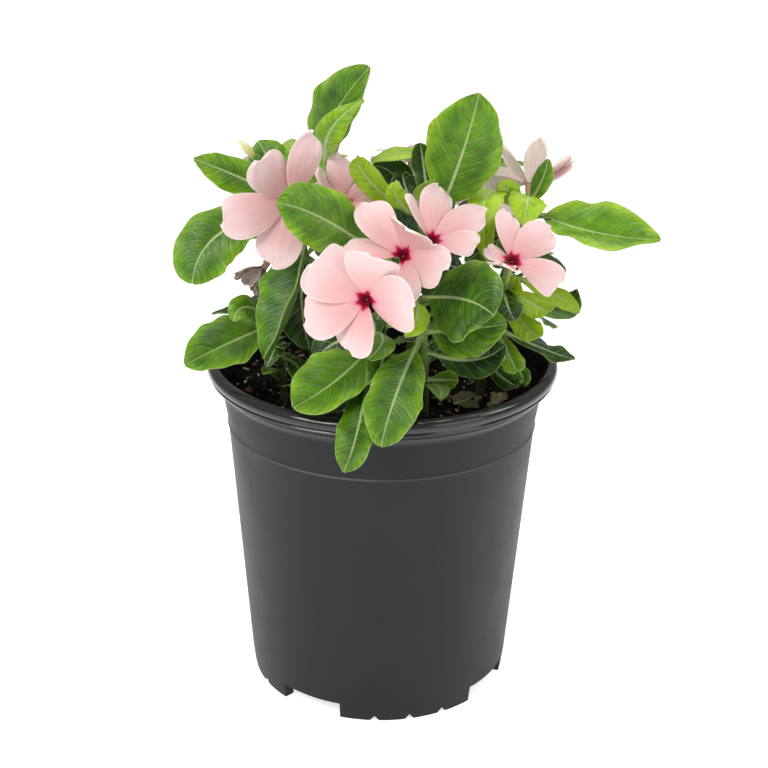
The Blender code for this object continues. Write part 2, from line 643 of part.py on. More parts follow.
def leafy_stem(name, spec):
    """One stem with all its leaves, the stalks of its flowers and their calyces, in one body."""
    points = stem_points(spec)
    radii = [STEM_FOOT + (STEM_TIP - STEM_FOOT) * i / (len(points) - 1) for i in range(len(points))]
    body = tube(name, points, radii, STEM_SIDES)
    pieces = []
    for number, one in enumerate(spec["leaves"]):
        pieces.append(leaf_blade(f"{name}_leaf_{number}", stem_spot(points, one["at"]), one))
    for one in spec["blooms"]:
        facing = bloom_frame(one)[0]
        end = Vector(one["centre"]) - facing * (TUBE_LENGTH + GAP)
        pieces += stalk(stem_spot(points, one["at"]), end, facing)
    for one in spec["buds"]:
        way = Vector(one["tip"]) - Vector(one["base"])
        pieces += stalk(stem_spot(points, one["at"]), one["base"], way)
    # So many thin blades meet near a growing tip that the exact solver leaves open edges there.
    return boolean(body, pieces, "UNION", "MANIFOLD")


def closed_bud(spec):
    """A furled corolla: a spindle with a fine point, just clear of its calyx."""
    base = Vector(spec["base"])
    tip = Vector(spec["tip"])
    base += (tip - base).normalized() * GAP
    points = [base.lerp(tip, share) for share, radius in BUD_SHAPE]
    return tube(spec["name"], points, [spec["radius"] * radius for share, radius in BUD_SHAPE], BUD_SIDES)


def pot_profile():
    """The wall in section: down the outside from the rim, then up the inside."""
    inner_floor = FLOOR_RADIUS - WALL
    outside = [(RIM_RADIUS - inset, RIM_TOP - drop) for inset, drop in RIM_BEAD]
    outside += [
        (NECK_RADIUS + NECK_FLARE, NECK_HEIGHT + NECK_FLARE_HEIGHT),
        (NECK_RADIUS, NECK_HEIGHT),
        (STEP_RADIUS, STEP_HEIGHT + STEP_ROUND),
        (STEP_RADIUS + STEP_LEDGE, STEP_HEIGHT),
        (STEP_RADIUS, STEP_HEIGHT - STEP_ROUND),
        (FLOOR_RADIUS, FLOOR_HEIGHT),
        (FOOT_RADIUS, 0.0),
        (FOOT_RADIUS - FOOT_WALL, 0.0),
        (FOOT_RADIUS - FOOT_WALL, FLOOR_HEIGHT - FLOOR_THICK),
        (0.0, FLOOR_HEIGHT - FLOOR_THICK),
    ]
    inside = [
        (0.0, FLOOR_HEIGHT),
        (inner_floor - FLOOR_FILLET / 2, FLOOR_HEIGHT),
        (inner_floor, FLOOR_HEIGHT + FLOOR_FILLET),
        (STEP_RADIUS - WALL, STEP_HEIGHT),
        (NECK_RADIUS - WALL, NECK_HEIGHT),
        (NECK_RADIUS + NECK_FLARE - WALL, NECK_HEIGHT + NECK_FLARE_HEIGHT),
        (RIM_RADIUS - RIM_INNER_INSET, RIM_TOP),
    ]
    return outside + inside


def sector(middle, span, low, high, inner, outer):
    """A wedge-shaped block about the axis, used to cut the foot ring."""
    angles = [math.radians(middle + span * (step / SECTOR_STEPS - 0.5)) for step in range(SECTOR_STEPS + 1)]
    verts = []
    for height in (low, high):
        for radius in (inner, outer):
            verts += [(radius * math.cos(angle), radius * math.sin(angle), height) for angle in angles]
    count = len(angles)
    low_inner, low_outer, high_inner, high_outer = 0, count, 2 * count, 3 * count
    faces = []
    for a in range(SECTOR_STEPS):
        b = a + 1
        for first, second in ((low_inner, low_outer), (low_outer, high_outer),
                              (high_outer, high_inner), (high_inner, low_inner)):
            faces.append([first + a, first + b, second + b, second + a])
    for end in (0, SECTOR_STEPS):
        faces.append([low_inner + end, low_outer + end, high_outer + end, high_inner + end])
    return object_of("foot_gap", verts, faces)


def notch(middle):
    """A small upright wedge that cuts one V into the bottom edge of a foot."""
    angle = math.radians(middle)
    outward = Vector((math.cos(angle), math.sin(angle), 0))
    side_way = Vector((-math.sin(angle), math.cos(angle), 0)) * NOTCH_WIDTH / 2
    down = Vector((0, 0, -CUT_MARGIN))
    spread = side_way * (1 + CUT_MARGIN / NOTCH_DEPTH)
    verts = []
    for radius in (FOOT_RADIUS - FOOT_WALL - CUT_MARGIN, FOOT_RADIUS + CUT_MARGIN):
        spot = outward * radius
        verts += [spot - spread + down, spot + spread + down, spot + Vector((0, 0, NOTCH_DEPTH))]
    return object_of("notch", verts, [[0, 1, 2], [3, 4, 5], [0, 1, 4, 3], [1, 2, 5, 4], [2, 0, 3, 5]])


def drain(angle):
    """A short upright rod that cuts one drain hole through the floor."""
    x = DRAIN_CENTRES * math.cos(angle)
    y = DRAIN_CENTRES * math.sin(angle)
    low = FLOOR_HEIGHT - FLOOR_THICK - CUT_MARGIN
    return cylinder("drain", (x, y, low), (x, y, FLOOR_HEIGHT + CUT_MARGIN), DRAIN_RADIUS, DRAIN_RADIUS,
                    DRAIN_SIDES)


def pot():
    """The pot: thin tapered wall, rolled rim, floor with drain holes and four notched feet."""
    body = revolve("pot", pot_profile(), POT_SIDES)
    pitch = 360.0 / FOOT_COUNT
    lobe = FOOT_SPAN / FOOT_LOBES
    cutters = []
    for number in range(FOOT_COUNT):
        middle = FOOT_TURN - 90 + pitch * number
        between = middle + pitch / 2
        cutters.append(sector(between, pitch - FOOT_SPAN, -CUT_MARGIN, FLOOR_HEIGHT - FLOOR_THICK,
                              FOOT_RADIUS - FOOT_WALL - CUT_MARGIN, FLOOR_RADIUS + CUT_MARGIN))
        for cut in range(1, FOOT_LOBES):
            cutters.append(notch(middle - FOOT_SPAN / 2 + lobe * cut))
        cutters.append(drain(math.radians(between)))
    return boolean(body, cutters, "DIFFERENCE")


def soil_height(x, y):
    """The top of the soil: a low mound with gentle hollows, in millimetres."""
    away = math.hypot(x, y) / (NECK_RADIUS - WALL)
    hollows = math.sin(x * SOIL_ROLL_X) * math.cos(y * SOIL_ROLL_Y)
    return SOIL_TOP + SOIL_MOUND * (SOIL_CROWN - away ** 2) + SOIL_ROLL * hollows


def hole(spec):
    """The plain hole that one stem stands in."""
    x, y = spec["path"][0]
    foot = Vector((x, y, SOIL_TOP - HOLE_DEPTH))
    surface = stem_points(spec)[2]
    top = surface + (surface - foot).normalized() * HOLE_REACH
    return cylinder("hole", foot, top, HOLE_RADIUS, HOLE_RADIUS, HOLE_SIDES)


def soil():
    """The soil that fills the pot, with a plain hole for each stem."""
    inner_floor = FLOOR_RADIUS - WALL - GAP
    edge = NECK_RADIUS - WALL - GAP - SOIL_EDGE
    verts = circle(inner_floor - FLOOR_FILLET / 2 - GAP, SOIL_SIDES, FLOOR_HEIGHT + GAP)
    verts += circle(inner_floor, SOIL_SIDES, FLOOR_HEIGHT + FLOOR_FILLET + GAP)
    verts += circle(STEP_RADIUS - WALL - GAP, SOIL_SIDES, STEP_HEIGHT)
    verts += circle(edge, SOIL_SIDES, SOIL_TOP - SOIL_MOUND)
    for ring in range(SOIL_RINGS - 1, 0, -1):
        for x, y, _ in circle(edge * ring / SOIL_RINGS, SOIL_SIDES, SOIL_TOP):
            verts.append((x, y, soil_height(x, y)))
    faces = [list(range(SOIL_SIDES))]
    last = len(verts) - SOIL_SIDES
    middle = len(verts)
    verts.append((0, 0, soil_height(0, 0)))
    for low in range(0, last, SOIL_SIDES):
        for side in range(SOIL_SIDES):
            a = low + side
            b = low + (side + 1) % SOIL_SIDES
            faces += [[a, b, SOIL_SIDES + b], [a, SOIL_SIDES + b, SOIL_SIDES + a]]
    for side in range(SOIL_SIDES):
        faces.append([last + side, last + (side + 1) % SOIL_SIDES, middle])
    body = object_of("soil", verts, faces)
    return boolean(body, [hole(spec) for spec in STEMS.values()], "DIFFERENCE")


def fallen(name, base, mid, tip, width, fold, curl, wave):
    """A dead leaf that lies on the soil, lifted just clear of it."""
    flat = [(x, y, soil_height(x, y)) for x, y in (base, mid, tip)]
    spec = leaf(0, flat[1], flat[2], width, (0, -0.2, 0.98), fold, curl, wave)
    grid = leaf_grid(flat[0], spec, SMALL_LEAF_STATIONS, NARROW_COLUMNS)
    low = min(point.z - soil_height(point.x, point.y) for row in grid for point in row)
    grid = [[point + Vector((0, 0, FALLEN_CLEAR - low)) for point in row] for row in grid]
    return blade(name, grid, [BLADE_THICK] * len(SMALL_LEAF_STATIONS))


def place_on_pot_axis(nodes):
    """Parents every node to an empty that stands on the pot's axis."""
    axis = bpy.data.objects.new("pot_axis", None)
    axis.location = (POT_X * MM, POT_Y * MM, 0)
    bpy.context.scene.collection.objects.link(axis)
    for node in nodes:
        node.parent = axis


def build():
    clear_scene()
    nodes = [finish(pot(), material("pot", POT_COLOUR, POT_ROUGHNESS)),
             finish(soil(), material("soil", SOIL_COLOUR, SOIL_ROUGHNESS))]
    for name, spec in STEMS.items():
        nodes.append(finish(leafy_stem(name, spec), material(name, LEAF_COLOUR, LEAF_ROUGHNESS)))
        for one in spec["blooms"]:
            colour = WILTED_COLOUR if one["name"] == "bloom_wilted" else PETAL_COLOUR
            nodes.append(finish(flower(one), material(one["name"], colour, PETAL_ROUGHNESS)))
        for one in spec["buds"]:
            nodes.append(finish(closed_bud(one), material(one["name"], BUD_COLOUR, PETAL_ROUGHNESS)))
    for name, shape in FALLEN.items():
        nodes.append(finish(fallen(name, *shape), material(name, FALLEN_COLOUR, FALLEN_ROUGHNESS)))
    place_on_pot_axis(nodes)


if __name__ == "__main__":
    build()
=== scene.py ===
"""A potted Madagascar periwinkle, dressed: veined leaves, pink flowers, soil and a black nursery pot.

Tables are in millimetres from the pot's axis and from the ground. Meshes are in metres. Every sheet is
a closed thin body over a fine grid, which follows the outline and the bend of the plain solid blade that
it stands for. Values stored at its points tell the materials where the veins run.
"""
import math
import random

import bmesh
import bpy
import numpy as np
from mathutils import Matrix, Vector


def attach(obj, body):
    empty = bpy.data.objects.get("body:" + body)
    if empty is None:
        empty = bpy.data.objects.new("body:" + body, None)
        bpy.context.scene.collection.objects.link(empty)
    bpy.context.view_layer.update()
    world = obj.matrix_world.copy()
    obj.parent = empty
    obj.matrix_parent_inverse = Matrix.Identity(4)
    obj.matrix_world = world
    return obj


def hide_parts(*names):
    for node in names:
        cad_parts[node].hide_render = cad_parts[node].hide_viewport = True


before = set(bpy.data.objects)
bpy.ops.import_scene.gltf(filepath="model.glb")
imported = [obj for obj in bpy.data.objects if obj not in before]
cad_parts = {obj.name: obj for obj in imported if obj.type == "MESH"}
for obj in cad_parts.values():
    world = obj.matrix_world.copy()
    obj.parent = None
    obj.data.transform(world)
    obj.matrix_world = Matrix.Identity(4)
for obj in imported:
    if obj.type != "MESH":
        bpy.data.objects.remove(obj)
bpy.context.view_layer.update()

MM = 0.001
BODY = "root"
POT_X = -17.4
POT_Y = -0.8

# The photograph's camera: distance, height angle, roll and lens for the square picture
CAMERA_AIM = (0.955, 0.0, 149.4)
CAMERA_DISTANCE = 750.0
CAMERA_ELEVATION = 22.4
CAMERA_ROLL = 0.8
CAMERA_LENS = 72.66
SENSOR_WIDTH = 36.0
CAMERA_NEAR = 0.01

# Pot, millimetres
RIM_RADIUS = 84.0
RIM_TOP = 165.0
RIM_INNER_INSET = 5.4
WALL = 1.6
NECK_RADIUS = 77.0
NECK_HEIGHT = 151.0
NECK_FLARE = 1.2
NECK_FLARE_HEIGHT = 4.0
STEP_RADIUS = 74.2
STEP_HEIGHT = 133.0
STEP_LEDGE = 0.5
STEP_ROUND = 1.0
FLOOR_RADIUS = 64.8
FLOOR_HEIGHT = 10.0
FLOOR_THICK = 2.0
FLOOR_FILLET = 3.0
FLOOR_UNDER = FLOOR_HEIGHT - FLOOR_THICK
FOOT_RADIUS = 63.6
FOOT_COUNT = 4
FOOT_SPAN = 61.0
FOOT_TURN = 14.0
FOOT_WALL = 5.0
FOOT_LOBES = 4
NOTCH_DEPTH = 2.6
NOTCH_WIDTH = 4.4
DRAIN_RADIUS = 6.0
DRAIN_CENTRES = 44.0
CUT_MARGIN = 3.0
POT_SIDES = 132

# The angle in degrees past which an edge is drawn sharp
SHARP_ANGLE = 50.0
SHARP_POT = 32.0
SHARP_SOIL = 80.0

# Soil, millimetres
SOIL_TOP = 148.0
SOIL_MOUND = 2.0
SOIL_MIDDLE = 0.3
SOIL_ROLL = 0.6
SOIL_ROLL_X = 0.11
SOIL_ROLL_Y = 0.13
SOIL_EDGE = 0.4
HOLE_DEPTH = 24.0

# Stems, leaves and petals, millimetres
GAP = 0.3
STEM_FOOT = 3.0
STEM_TIP = 1.5
STEM_SLIM = 0.8
STALK_RADIUS = 0.9
STALK_PULL = 0.45
CALYX_RADIUS = 1.9
CALYX_LENGTH = 3.4
PETIOLE_SHARE = 0.16
PETIOLE_HALF = 1.1
LEAF_RISE = 0.66
LEAF_WAVES = 2.2
LEAF_WAVE_SHIFT = 2.0
PETAL_ROOT = 1.3
PETAL_SINK = 0.7
PETAL_CUP = 0.12
PETAL_CLAW = 1.1
PETAL_RISE = 0.84
PETAL_BLUNT = 0.3
TUBE_LENGTH = 16.0

TINY = 1e-12
SEEDS = 40.0   # each leaf and petal draws a seed from 0 up to this

VIEWER = (0.0, -0.92, 0.38)

# Leaf tones, from the inside of the bush to its young tips: the darkest tones are painted shade on the
# leaves deep in the bush
INSIDE_SHADE_TONE = 0.12
DEEP = 0.32
MID = 0.5
BRIGHT = 0.68
YOUNG = 0.95


def leaf(at, mid, tip, width, face=VIEWER, fold=0.18, curl=0.22, wave=0.05, blunt=0.7, tone=MID):
    """One leaf: where it leaves its stem, then a point halfway, its tip, its width and its tone."""
    return dict(at=at, mid=mid, tip=tip, width=width, face=face, fold=fold, curl=curl, wave=wave,
                blunt=blunt, tone=tone)


def petal(angle, length=28.0, width=18.0, tip=6.0, lift=22.0, pitch=12.0, blunt=PETAL_BLUNT,
          rise=PETAL_RISE):
    """One petal: its angle about the eye, its size, and how far it rises at the eye and at its tip."""
    return dict(angle=angle, length=length, width=width, tip=tip, lift=lift, pitch=pitch, blunt=blunt,
                rise=rise)


def even_petals(turn, length=27.0, width=18.0):
    """Five equal petals."""
    return [petal(turn + 72 * number, length, width) for number in range(5)]


def bloom(name, centre, facing, petals, at=1.0):
    """One flower: its eye, the way it faces, its petals and the share of the stem where it leaves."""
    return dict(name=name, centre=centre, facing=facing, petals=petals, at=at)


def bud(name, base, tip, at=1.0, radius=2.6):
    """One closed bud on its own short stalk."""
    return dict(name=name, base=base, tip=tip, at=at, radius=radius)


def stem(path, leaves, blooms=(), buds=()):
    """One leafy stem: points along its middle, its leaves, and the flowers and buds on it."""
    return dict(path=path, leaves=leaves, blooms=blooms, buds=buds)


STEMS = {
    "stem_left": stem([(-32, 4), (-33, 2, 176), (-36, -4, 212), (-40, -10, 243)], [
        leaf(0.95, (-73, -24, 232), (-86, -32, 210), 28, (-0.25, -0.9, 0.35), blunt=0.42),
        leaf(0.99, (-66, -14, 255), (-85, -18, 264), 17, (0.05, -0.8, 0.6), blunt=0.85, tone=0.56),
        leaf(1.0, (-51, -2, 257), (-58, 4, 267), 20, (0.1, -0.9, 0.4)),
        leaf(0.9, (-38, -34, 210), (-53, -44, 179), 32, (-0.79, -0.6, 0.0), fold=0.95, tone=0.42),
        leaf(0.78, (-37, -26, 199), (-33, -36, 181), 21, (0.1, -0.9, 0.4), tone=INSIDE_SHADE_TONE),
        leaf(0.72, (-46, 18, 208), (-56, 34, 202), 20, (-0.3, 0.3, 0.9)),
        leaf(0.7, (-20, -18, 204), (-12, -26, 192), 16, (0.2, -0.7, 0.7), tone=INSIDE_SHADE_TONE),
    ], blooms=[
        bloom("bloom_wilted", (-56, -14, 211), (-0.6, -0.3, -0.74), [
            petal(20, 13, 8, tip=70, lift=60), petal(110, 12, 9, tip=75, lift=60),
            petal(190, 14, 8, tip=60, lift=50), petal(290, 12, 8, tip=80, lift=60)], at=0.7),
        bloom("bloom_upper_left", (-40.4, -38, 251.6), (0.24, -0.96, 0.13), [
            petal(73, 30, 15, blunt=0.5), petal(131, 25, 20, tip=20), petal(196, 32, 20),
            petal(252, 30, 20, blunt=0.42), petal(335, 26, 18)], at=0.96),
    ], buds=[bud("bud_left", (-59, -6, 262), (-66, -10, 271), at=0.98)]),
    "stem_top_left": stem([(-14, 22), (-17, 20, 190), (-21, 16, 224), (-27, 12, 253)], [
        leaf(0.98, (-25.5, 7, 274.5), (-7.5, 4, 301.5), 30, (-0.7, -0.66, 0.3), fold=0.4, blunt=0.62),
        leaf(1.0, (-25, -14, 275.5), (-10, -12, 290), 13, (-0.1, -0.95, 0.3), blunt=1.1, tone=0.68),
        leaf(0.92, (-38, 34, 252), (-48, 46, 248), 20, (-0.3, 0.2, 0.93)),
        leaf(0.66, (-36, 30, 232), (-52, 34, 232), 18, (-0.2, 0.3, 0.9), tone=DEEP),
        leaf(0.6, (-4, 12, 222), (6, 4, 226), 16, (0.1, -0.5, 0.85), tone=INSIDE_SHADE_TONE),
    ], blooms=[bloom("bloom_back_left", (-18.5, -12, 242.5), (0.1, -0.72, 0.68), [
        petal(97, 25, 13, blunt=0.5), petal(140, 21, 14, tip=40, pitch=50), petal(30, 20, 15),
        petal(330, 15, 12), petal(215, 14, 12)], at=0.93)]),
    "stem_front": stem([(20, -34), (19, -38, 178), (17, -40, 200), (8, -36, 218)], [
        leaf(0.5, (7, -80, 180), (0, -100, 162), 24, (0.15, -0.7, 0.7), wave=0.16, blunt=0.65),
        leaf(0.5, (33, -52, 197), (54, -60, 203), 26, (0.1, -0.9, 0.45)),
        leaf(0.78, (33, -70, 218), (46, -88, 217), 36, (-0.35, -0.8, 0.5), tone=0.38),
        leaf(0.8, (15, -58, 206), (10, -66, 199), 12, (0.1, -0.9, 0.4), tone=YOUNG),
        leaf(0.38, (40, -42, 179), (55, -46, 188), 17, (0.1, -0.9, 0.4), tone=INSIDE_SHADE_TONE),
        leaf(1.0, (-23, -54, 246), (-45, -64, 257), 28, (-0.1, -0.8, 0.6), wave=0.1, tone=0.6),
        leaf(0.24, (25, -50, 169), (26, -58, 166), 10, (0.1, -0.5, -0.85)),
        leaf(0.26, (29, -44, 170), (34, -50, 172), 9, (0.1, -0.9, 0.4)),
        leaf(0.9, (-12, -33, 228), (-30, -36, 226), 24, (-0.1, -0.9, 0.4), tone=INSIDE_SHADE_TONE),
        leaf(0.85, (20, -26, 212), (30, -27, 203), 20, (0.1, -0.9, 0.4), tone=INSIDE_SHADE_TONE),
    ], blooms=[
        bloom("bloom_front", (-7, -88, 223), (-0.35, -0.93, 0.02), [
            petal(76, 23, 23, tip=20, blunt=0.24), petal(147, 27, 25, tip=12, blunt=0.24),
            petal(204, 29, 20, blunt=0.26), petal(255, 24, 18, rise=0.7, blunt=0.22),
            petal(362, 23, 26, tip=14, rise=0.6)], at=0.96),
        bloom("bloom_middle", (8, -64, 235), (-0.27, -0.71, 0.64), [
            petal(44, 20, 23, tip=72, lift=30), petal(122, 30, 17), petal(166, 26, 11),
            petal(273, 23, 16), petal(329, 24, 19, tip=18, rise=0.7)], at=0.98),
        bloom("bloom_inner_right", (21, -38, 234), (0.05, -0.54, 0.84), [
            petal(84, 30, 15, blunt=0.42), petal(116, 23, 12, tip=20, pitch=48),
            petal(34, 29, 15, blunt=0.5), petal(346, 21, 13, tip=16), petal(225, 15, 14)]),
    ]),
    "stem_front_low": stem([(-8, -34), (-6, -38, 172), (-2, -44, 192)], [
        leaf(0.9, (-18, -64, 179), (-38, -76, 169), 31, (-0.31, -0.64, 0.7), fold=0.5,
             wave=0.08, blunt=0.56, tone=0.56),
        leaf(0.7, (-9.5, -86, 166), (-15.5, -100, 150.5), 18, (-0.3, -0.85, 0.4), fold=0.3,
             wave=0.09, tone=0.42),
        leaf(0.97, (0, -66, 187), (-6, -76, 181), 13, (0.1, -0.9, 0.45), tone=DEEP),
        leaf(1.0, (0, -66, 196), (-6, -76, 192), 12, (0.1, -0.2, 0.97)),
        leaf(0.35, (-22, -60, 166), (-31, -66, 163), 14, (-0.1, -0.6, 0.8), tone=INSIDE_SHADE_TONE),
        leaf(0.9, (-20, -50, 190), (-30, -50, 179), 17, (-0.1, -0.85, 0.5), tone=INSIDE_SHADE_TONE),
    ]),
    "stem_top": stem([(12, 0), (14, 0, 184), (18, -2, 214), (24, -6, 234)], [
        leaf(0.98, (34, -11, 264), (41, -14, 294), 34, (-0.15, -0.95, 0.3), tone=0.58),
        leaf(0.96, (26, 12, 264), (28, 16, 277), 15, (0.2, -0.9, 0.4), tone=0.8),
        leaf(1.0, (18, -7, 245), (36, -6, 253), 11, (0.3, 0.6, 0.75), tone=YOUNG),
        leaf(0.9, (18, 4, 255), (16, 4, 267), 11, (-0.3, -0.8, 0.5), tone=INSIDE_SHADE_TONE),
        leaf(0.92, (7, -18, 245), (6, -20, 255), 10, (0.0, -0.95, 0.3), tone=YOUNG),
        leaf(0.86, (-6, -14, 253), (-12, -18, 266), 12, (0.3, -0.9, 0.3), tone=YOUNG),
        leaf(0.78, (10, 4, 245), (9, 8, 252), 12, (0.1, -0.9, 0.4), tone=INSIDE_SHADE_TONE),
        leaf(0.6, (2, 6, 206), (-8, 10, 208), 16, (-0.1, -0.5, 0.85), tone=INSIDE_SHADE_TONE),
        leaf(0.66, (32, 12, 206), (40, 20, 200), 22, (0.2, -0.6, 0.8), tone=INSIDE_SHADE_TONE),
        leaf(0.72, (8, -14, 228), (3, -20, 243), 20, (0.0, -0.95, 0.3), tone=INSIDE_SHADE_TONE),
        leaf(0.86, (7, 12, 247), (-6, 12, 254), 15, (0.0, -0.9, 0.4), tone=0.25),
    ], buds=[bud("bud_middle", (9, -7, 243), (5, -9, 253), at=0.95, radius=2.0)]),
    "stem_right": stem([(46, -10), (48, -12, 176), (52, -12, 198), (56, -10, 212)], [
        leaf(0.8, (65, -28, 191), (72, -36, 189), 13, (0.2, -0.8, 0.6), tone=YOUNG),
        leaf(0.84, (70, -24, 199), (76, -32, 200), 14, (0.2, -0.7, 0.7), tone=YOUNG),
        leaf(0.88, (56, -34, 203), (59, -44, 199), 13, (0.0, -0.85, 0.5), tone=INSIDE_SHADE_TONE),
        leaf(0.9, (58, -20, 206), (60, -26, 214), 12, (0.1, -0.95, 0.2), tone=YOUNG),
        leaf(0.45, (76, -14, 174), (90, -18, 171), 10, (0.2, -0.4, 0.9), wave=0.3, tone=INSIDE_SHADE_TONE),
        leaf(0.95, (77, -16, 203), (89, -28, 197), 11, (0.1, -0.5, 0.85), tone=YOUNG),
        leaf(0.74, (82, 2, 190), (92, 6, 197), 15, (0.1, -0.7, 0.7), tone=DEEP),
        leaf(0.5, (58, -38, 179), (61, -46, 175), 11, (0.1, -0.85, 0.5), tone=0.62),
        leaf(0.36, (63, -32, 170), (62, -38, 166), 8, (0.1, -0.8, 0.6), tone=DEEP),
        leaf(0.28, (57, -22, 162), (64, -28, 161), 10, (0.1, -0.6, 0.8), tone=INSIDE_SHADE_TONE),
        leaf(0.26, (42, -26, 167), (38, -34, 175), 10, (-0.1, -0.9, 0.4), tone=INSIDE_SHADE_TONE),
    ], blooms=[bloom("bloom_right", (57, -38, 225), (0.1, -0.54, 0.84), [
        petal(95, 27, 12, blunt=0.4), petal(47, 26, 17, blunt=0.4),
        petal(327, 24, 15, pitch=30, blunt=0.22), petal(238, 18, 15, tip=45), petal(158, 13, 11)])]),
    "stem_right_back": stem([(54, 20), (58, 16, 190), (63, 10, 220), (66, 6, 238)], [
        leaf(0.97, (94, -2, 228.5), (127, -10, 227), 32, (0.1, -0.45, 0.9), fold=0.6,
             blunt=0.7, wave=0.1, tone=BRIGHT),
        leaf(0.99, (72, 4, 249), (75, 6, 260), 10, (-0.5, -0.8, 0.3)),
        leaf(1.0, (66, -3, 244), (63, -12, 233), 18, (0.1, -0.8, 0.6), tone=YOUNG),
        leaf(0.96, (58, 0, 245), (52, -4, 251), 11, (-0.1, -0.9, 0.4), tone=YOUNG),
        leaf(0.92, (47, -6, 246), (47, -22, 219), 17, (-0.4, -0.7, 0.5), tone=YOUNG),
        leaf(0.7, (76, -2, 212), (84, -8, 208), 14, (0.3, -0.6, 0.7), tone=INSIDE_SHADE_TONE),
        leaf(0.66, (70, 30, 210), (84, 40, 204), 20, (0.3, 0.4, 0.85)),
        leaf(0.4, (74, 20, 180), (86, 22, 172), 20, (0.3, 0.1, 0.95), tone=DEEP),
        leaf(0.8, (52, 14, 217), (39, 12, 208), 18, (0.0, -0.9, 0.4), tone=0.4),
        leaf(0.76, (60, 4, 218), (51, -4, 211), 14, (0.0, -0.9, 0.4), tone=DEEP),
    ], blooms=[bloom("bloom_far_right", (69, 32, 242), (0.05, 0.55, 0.83), [
        petal(274, 28, 11, tip=32, blunt=0.45), petal(229, 25, 6, tip=30, blunt=0.6),
        petal(352, 24, 13, tip=30, pitch=40, blunt=0.5), petal(334, 23, 12, tip=34),
        petal(150, 24, 16)], at=0.94)]),
    "stem_low_left": stem([(-44, -16), (-48, -16, 168), (-52, -16, 186)], [
        leaf(0.95, (-69, -28, 181), (-90, -38, 173), 29, (-0.3, -0.64, 0.7), fold=0.4),
        leaf(1.0, (-62, -28, 198), (-68, -34, 193), 12, (-0.2, -0.85, 0.5)),
        leaf(0.6, (-49, -26, 178), (-53, -34, 171), 9, (-0.1, -0.8, 0.6), tone=INSIDE_SHADE_TONE),
        leaf(0.5, (-39, -26, 168), (-40, -34, 161), 10, (0.1, -0.8, 0.6), tone=INSIDE_SHADE_TONE),
        leaf(0.8, (-62, 2, 184), (-74, 14, 176), 20, (-0.5, 0.1, 0.85)),
    ]),
    "stem_back_left": stem([(-34, 40), (-38, 44, 184), (-42, 46, 208), (-44, 46, 226)], [
        leaf(0.98, (-64, 53, 241), (-85, 61, 236), 26, (-0.3, 0.2, 0.92)),
        leaf(0.97, (-34, 63, 243), (-26, 86, 238), 26, (0.1, 0.5, 0.85), tone=BRIGHT),
        leaf(1.0, (-46, 56, 242), (-46, 64, 254), 16, (-0.1, 0.8, 0.5), tone=YOUNG),
        leaf(0.7, (-60, 60, 206), (-82, 74, 194), 27, (-0.4, 0.4, 0.8)),
        leaf(0.7, (-22, 60, 208), (-2, 74, 200), 25, (0.2, 0.5, 0.85), tone=DEEP),
        leaf(0.45, (-60, 40, 180), (-85, 34, 172), 26, (-0.5, 0.1, 0.85), tone=INSIDE_SHADE_TONE),
        leaf(0.85, (-22, 40, 222), (-4, 34, 220), 22, (0.1, -0.3, 0.95)),
        leaf(0.42, (-40, 68, 180), (-42, 93, 170), 27, (-0.1, 0.6, 0.8)),
    ], blooms=[bloom("bloom_back_low", (-56, 88, 222), (-0.35, 0.85, 0.4), even_petals(10), at=0.9)]),
    "stem_back_right": stem([(26, 42), (28, 46, 186), (32, 48, 212), (34, 48, 230)], [
        leaf(0.98, (54, 53, 246), (78, 58, 240), 26, (0.3, 0.2, 0.92)),
        leaf(0.97, (24, 68, 245), (16, 90, 240), 26, (-0.1, 0.5, 0.87), tone=BRIGHT),
        leaf(1.0, (36, 60, 246), (38, 70, 256), 16, (0.1, 0.8, 0.5), tone=YOUNG),
        leaf(0.7, (52, 62, 208), (70, 78, 198), 27, (0.4, 0.5, 0.78)),
        leaf(0.7, (17, 64, 206), (4, 82, 196), 25, (-0.2, 0.5, 0.85), tone=DEEP),
        leaf(0.45, (50, 48, 180), (76, 50, 172), 26, (0.5, 0.1, 0.85)),
        leaf(0.42, (24, 70, 180), (18, 94, 170), 27, (0.0, 0.6, 0.8)),
        leaf(0.82, (46, 30, 222), (52, 14, 216), 22, (0.2, -0.4, 0.9)),
        leaf(0.99, (20, 22, 257), (-6, 4, 258), 15, (0.0, -0.3, 0.95), tone=YOUNG),
    ], blooms=[
        bloom("bloom_back_top", (12, 51, 250), (-0.1, 0.1, 0.99), even_petals(-14, 20, 16), at=0.94),
        bloom("bloom_back_mid", (50, 90, 220), (0.3, 0.85, 0.45), even_petals(20), at=0.88),
    ]),
}

# Dead leaves on the soil: foot, middle and tip (x, y), width, fold, curl and wave
FALLEN = {
    "fallen_leaf": ((47, -18), (42, -19), (34, -25), 15, 0.05, 0.12, 0.06),
    "dry_scrap": ((50, -26), (55, -18), (57, -9), 8, 0.3, 0.05, 0.3),
}

def unit(vectors):
    """Vectors scaled to length one, along the last axis."""
    return vectors / np.maximum(np.linalg.norm(vectors, axis=-1, keepdims=True), TINY)


def smooth_step(low, high, values):
    """From 0 at the low value to 1 at the high one, with soft ends."""
    share = np.clip((values - low) / (high - low), 0, 1)
    return share * share * (3 - 2 * share)


def placed(name, data):
    """A new object in the scene."""
    made = bpy.data.objects.new(name, data)
    bpy.context.scene.collection.objects.link(made)
    return made


def closed_mesh(name, points, faces):
    """A mesh whose faces all look outwards."""
    mesh = bpy.data.meshes.new(name)
    mesh.from_pydata(points, [], faces)
    shell = bmesh.new()
    shell.from_mesh(mesh)
    bmesh.ops.recalc_face_normals(shell, faces=shell.faces)
    shell.to_mesh(mesh)
    shell.free()
    return mesh


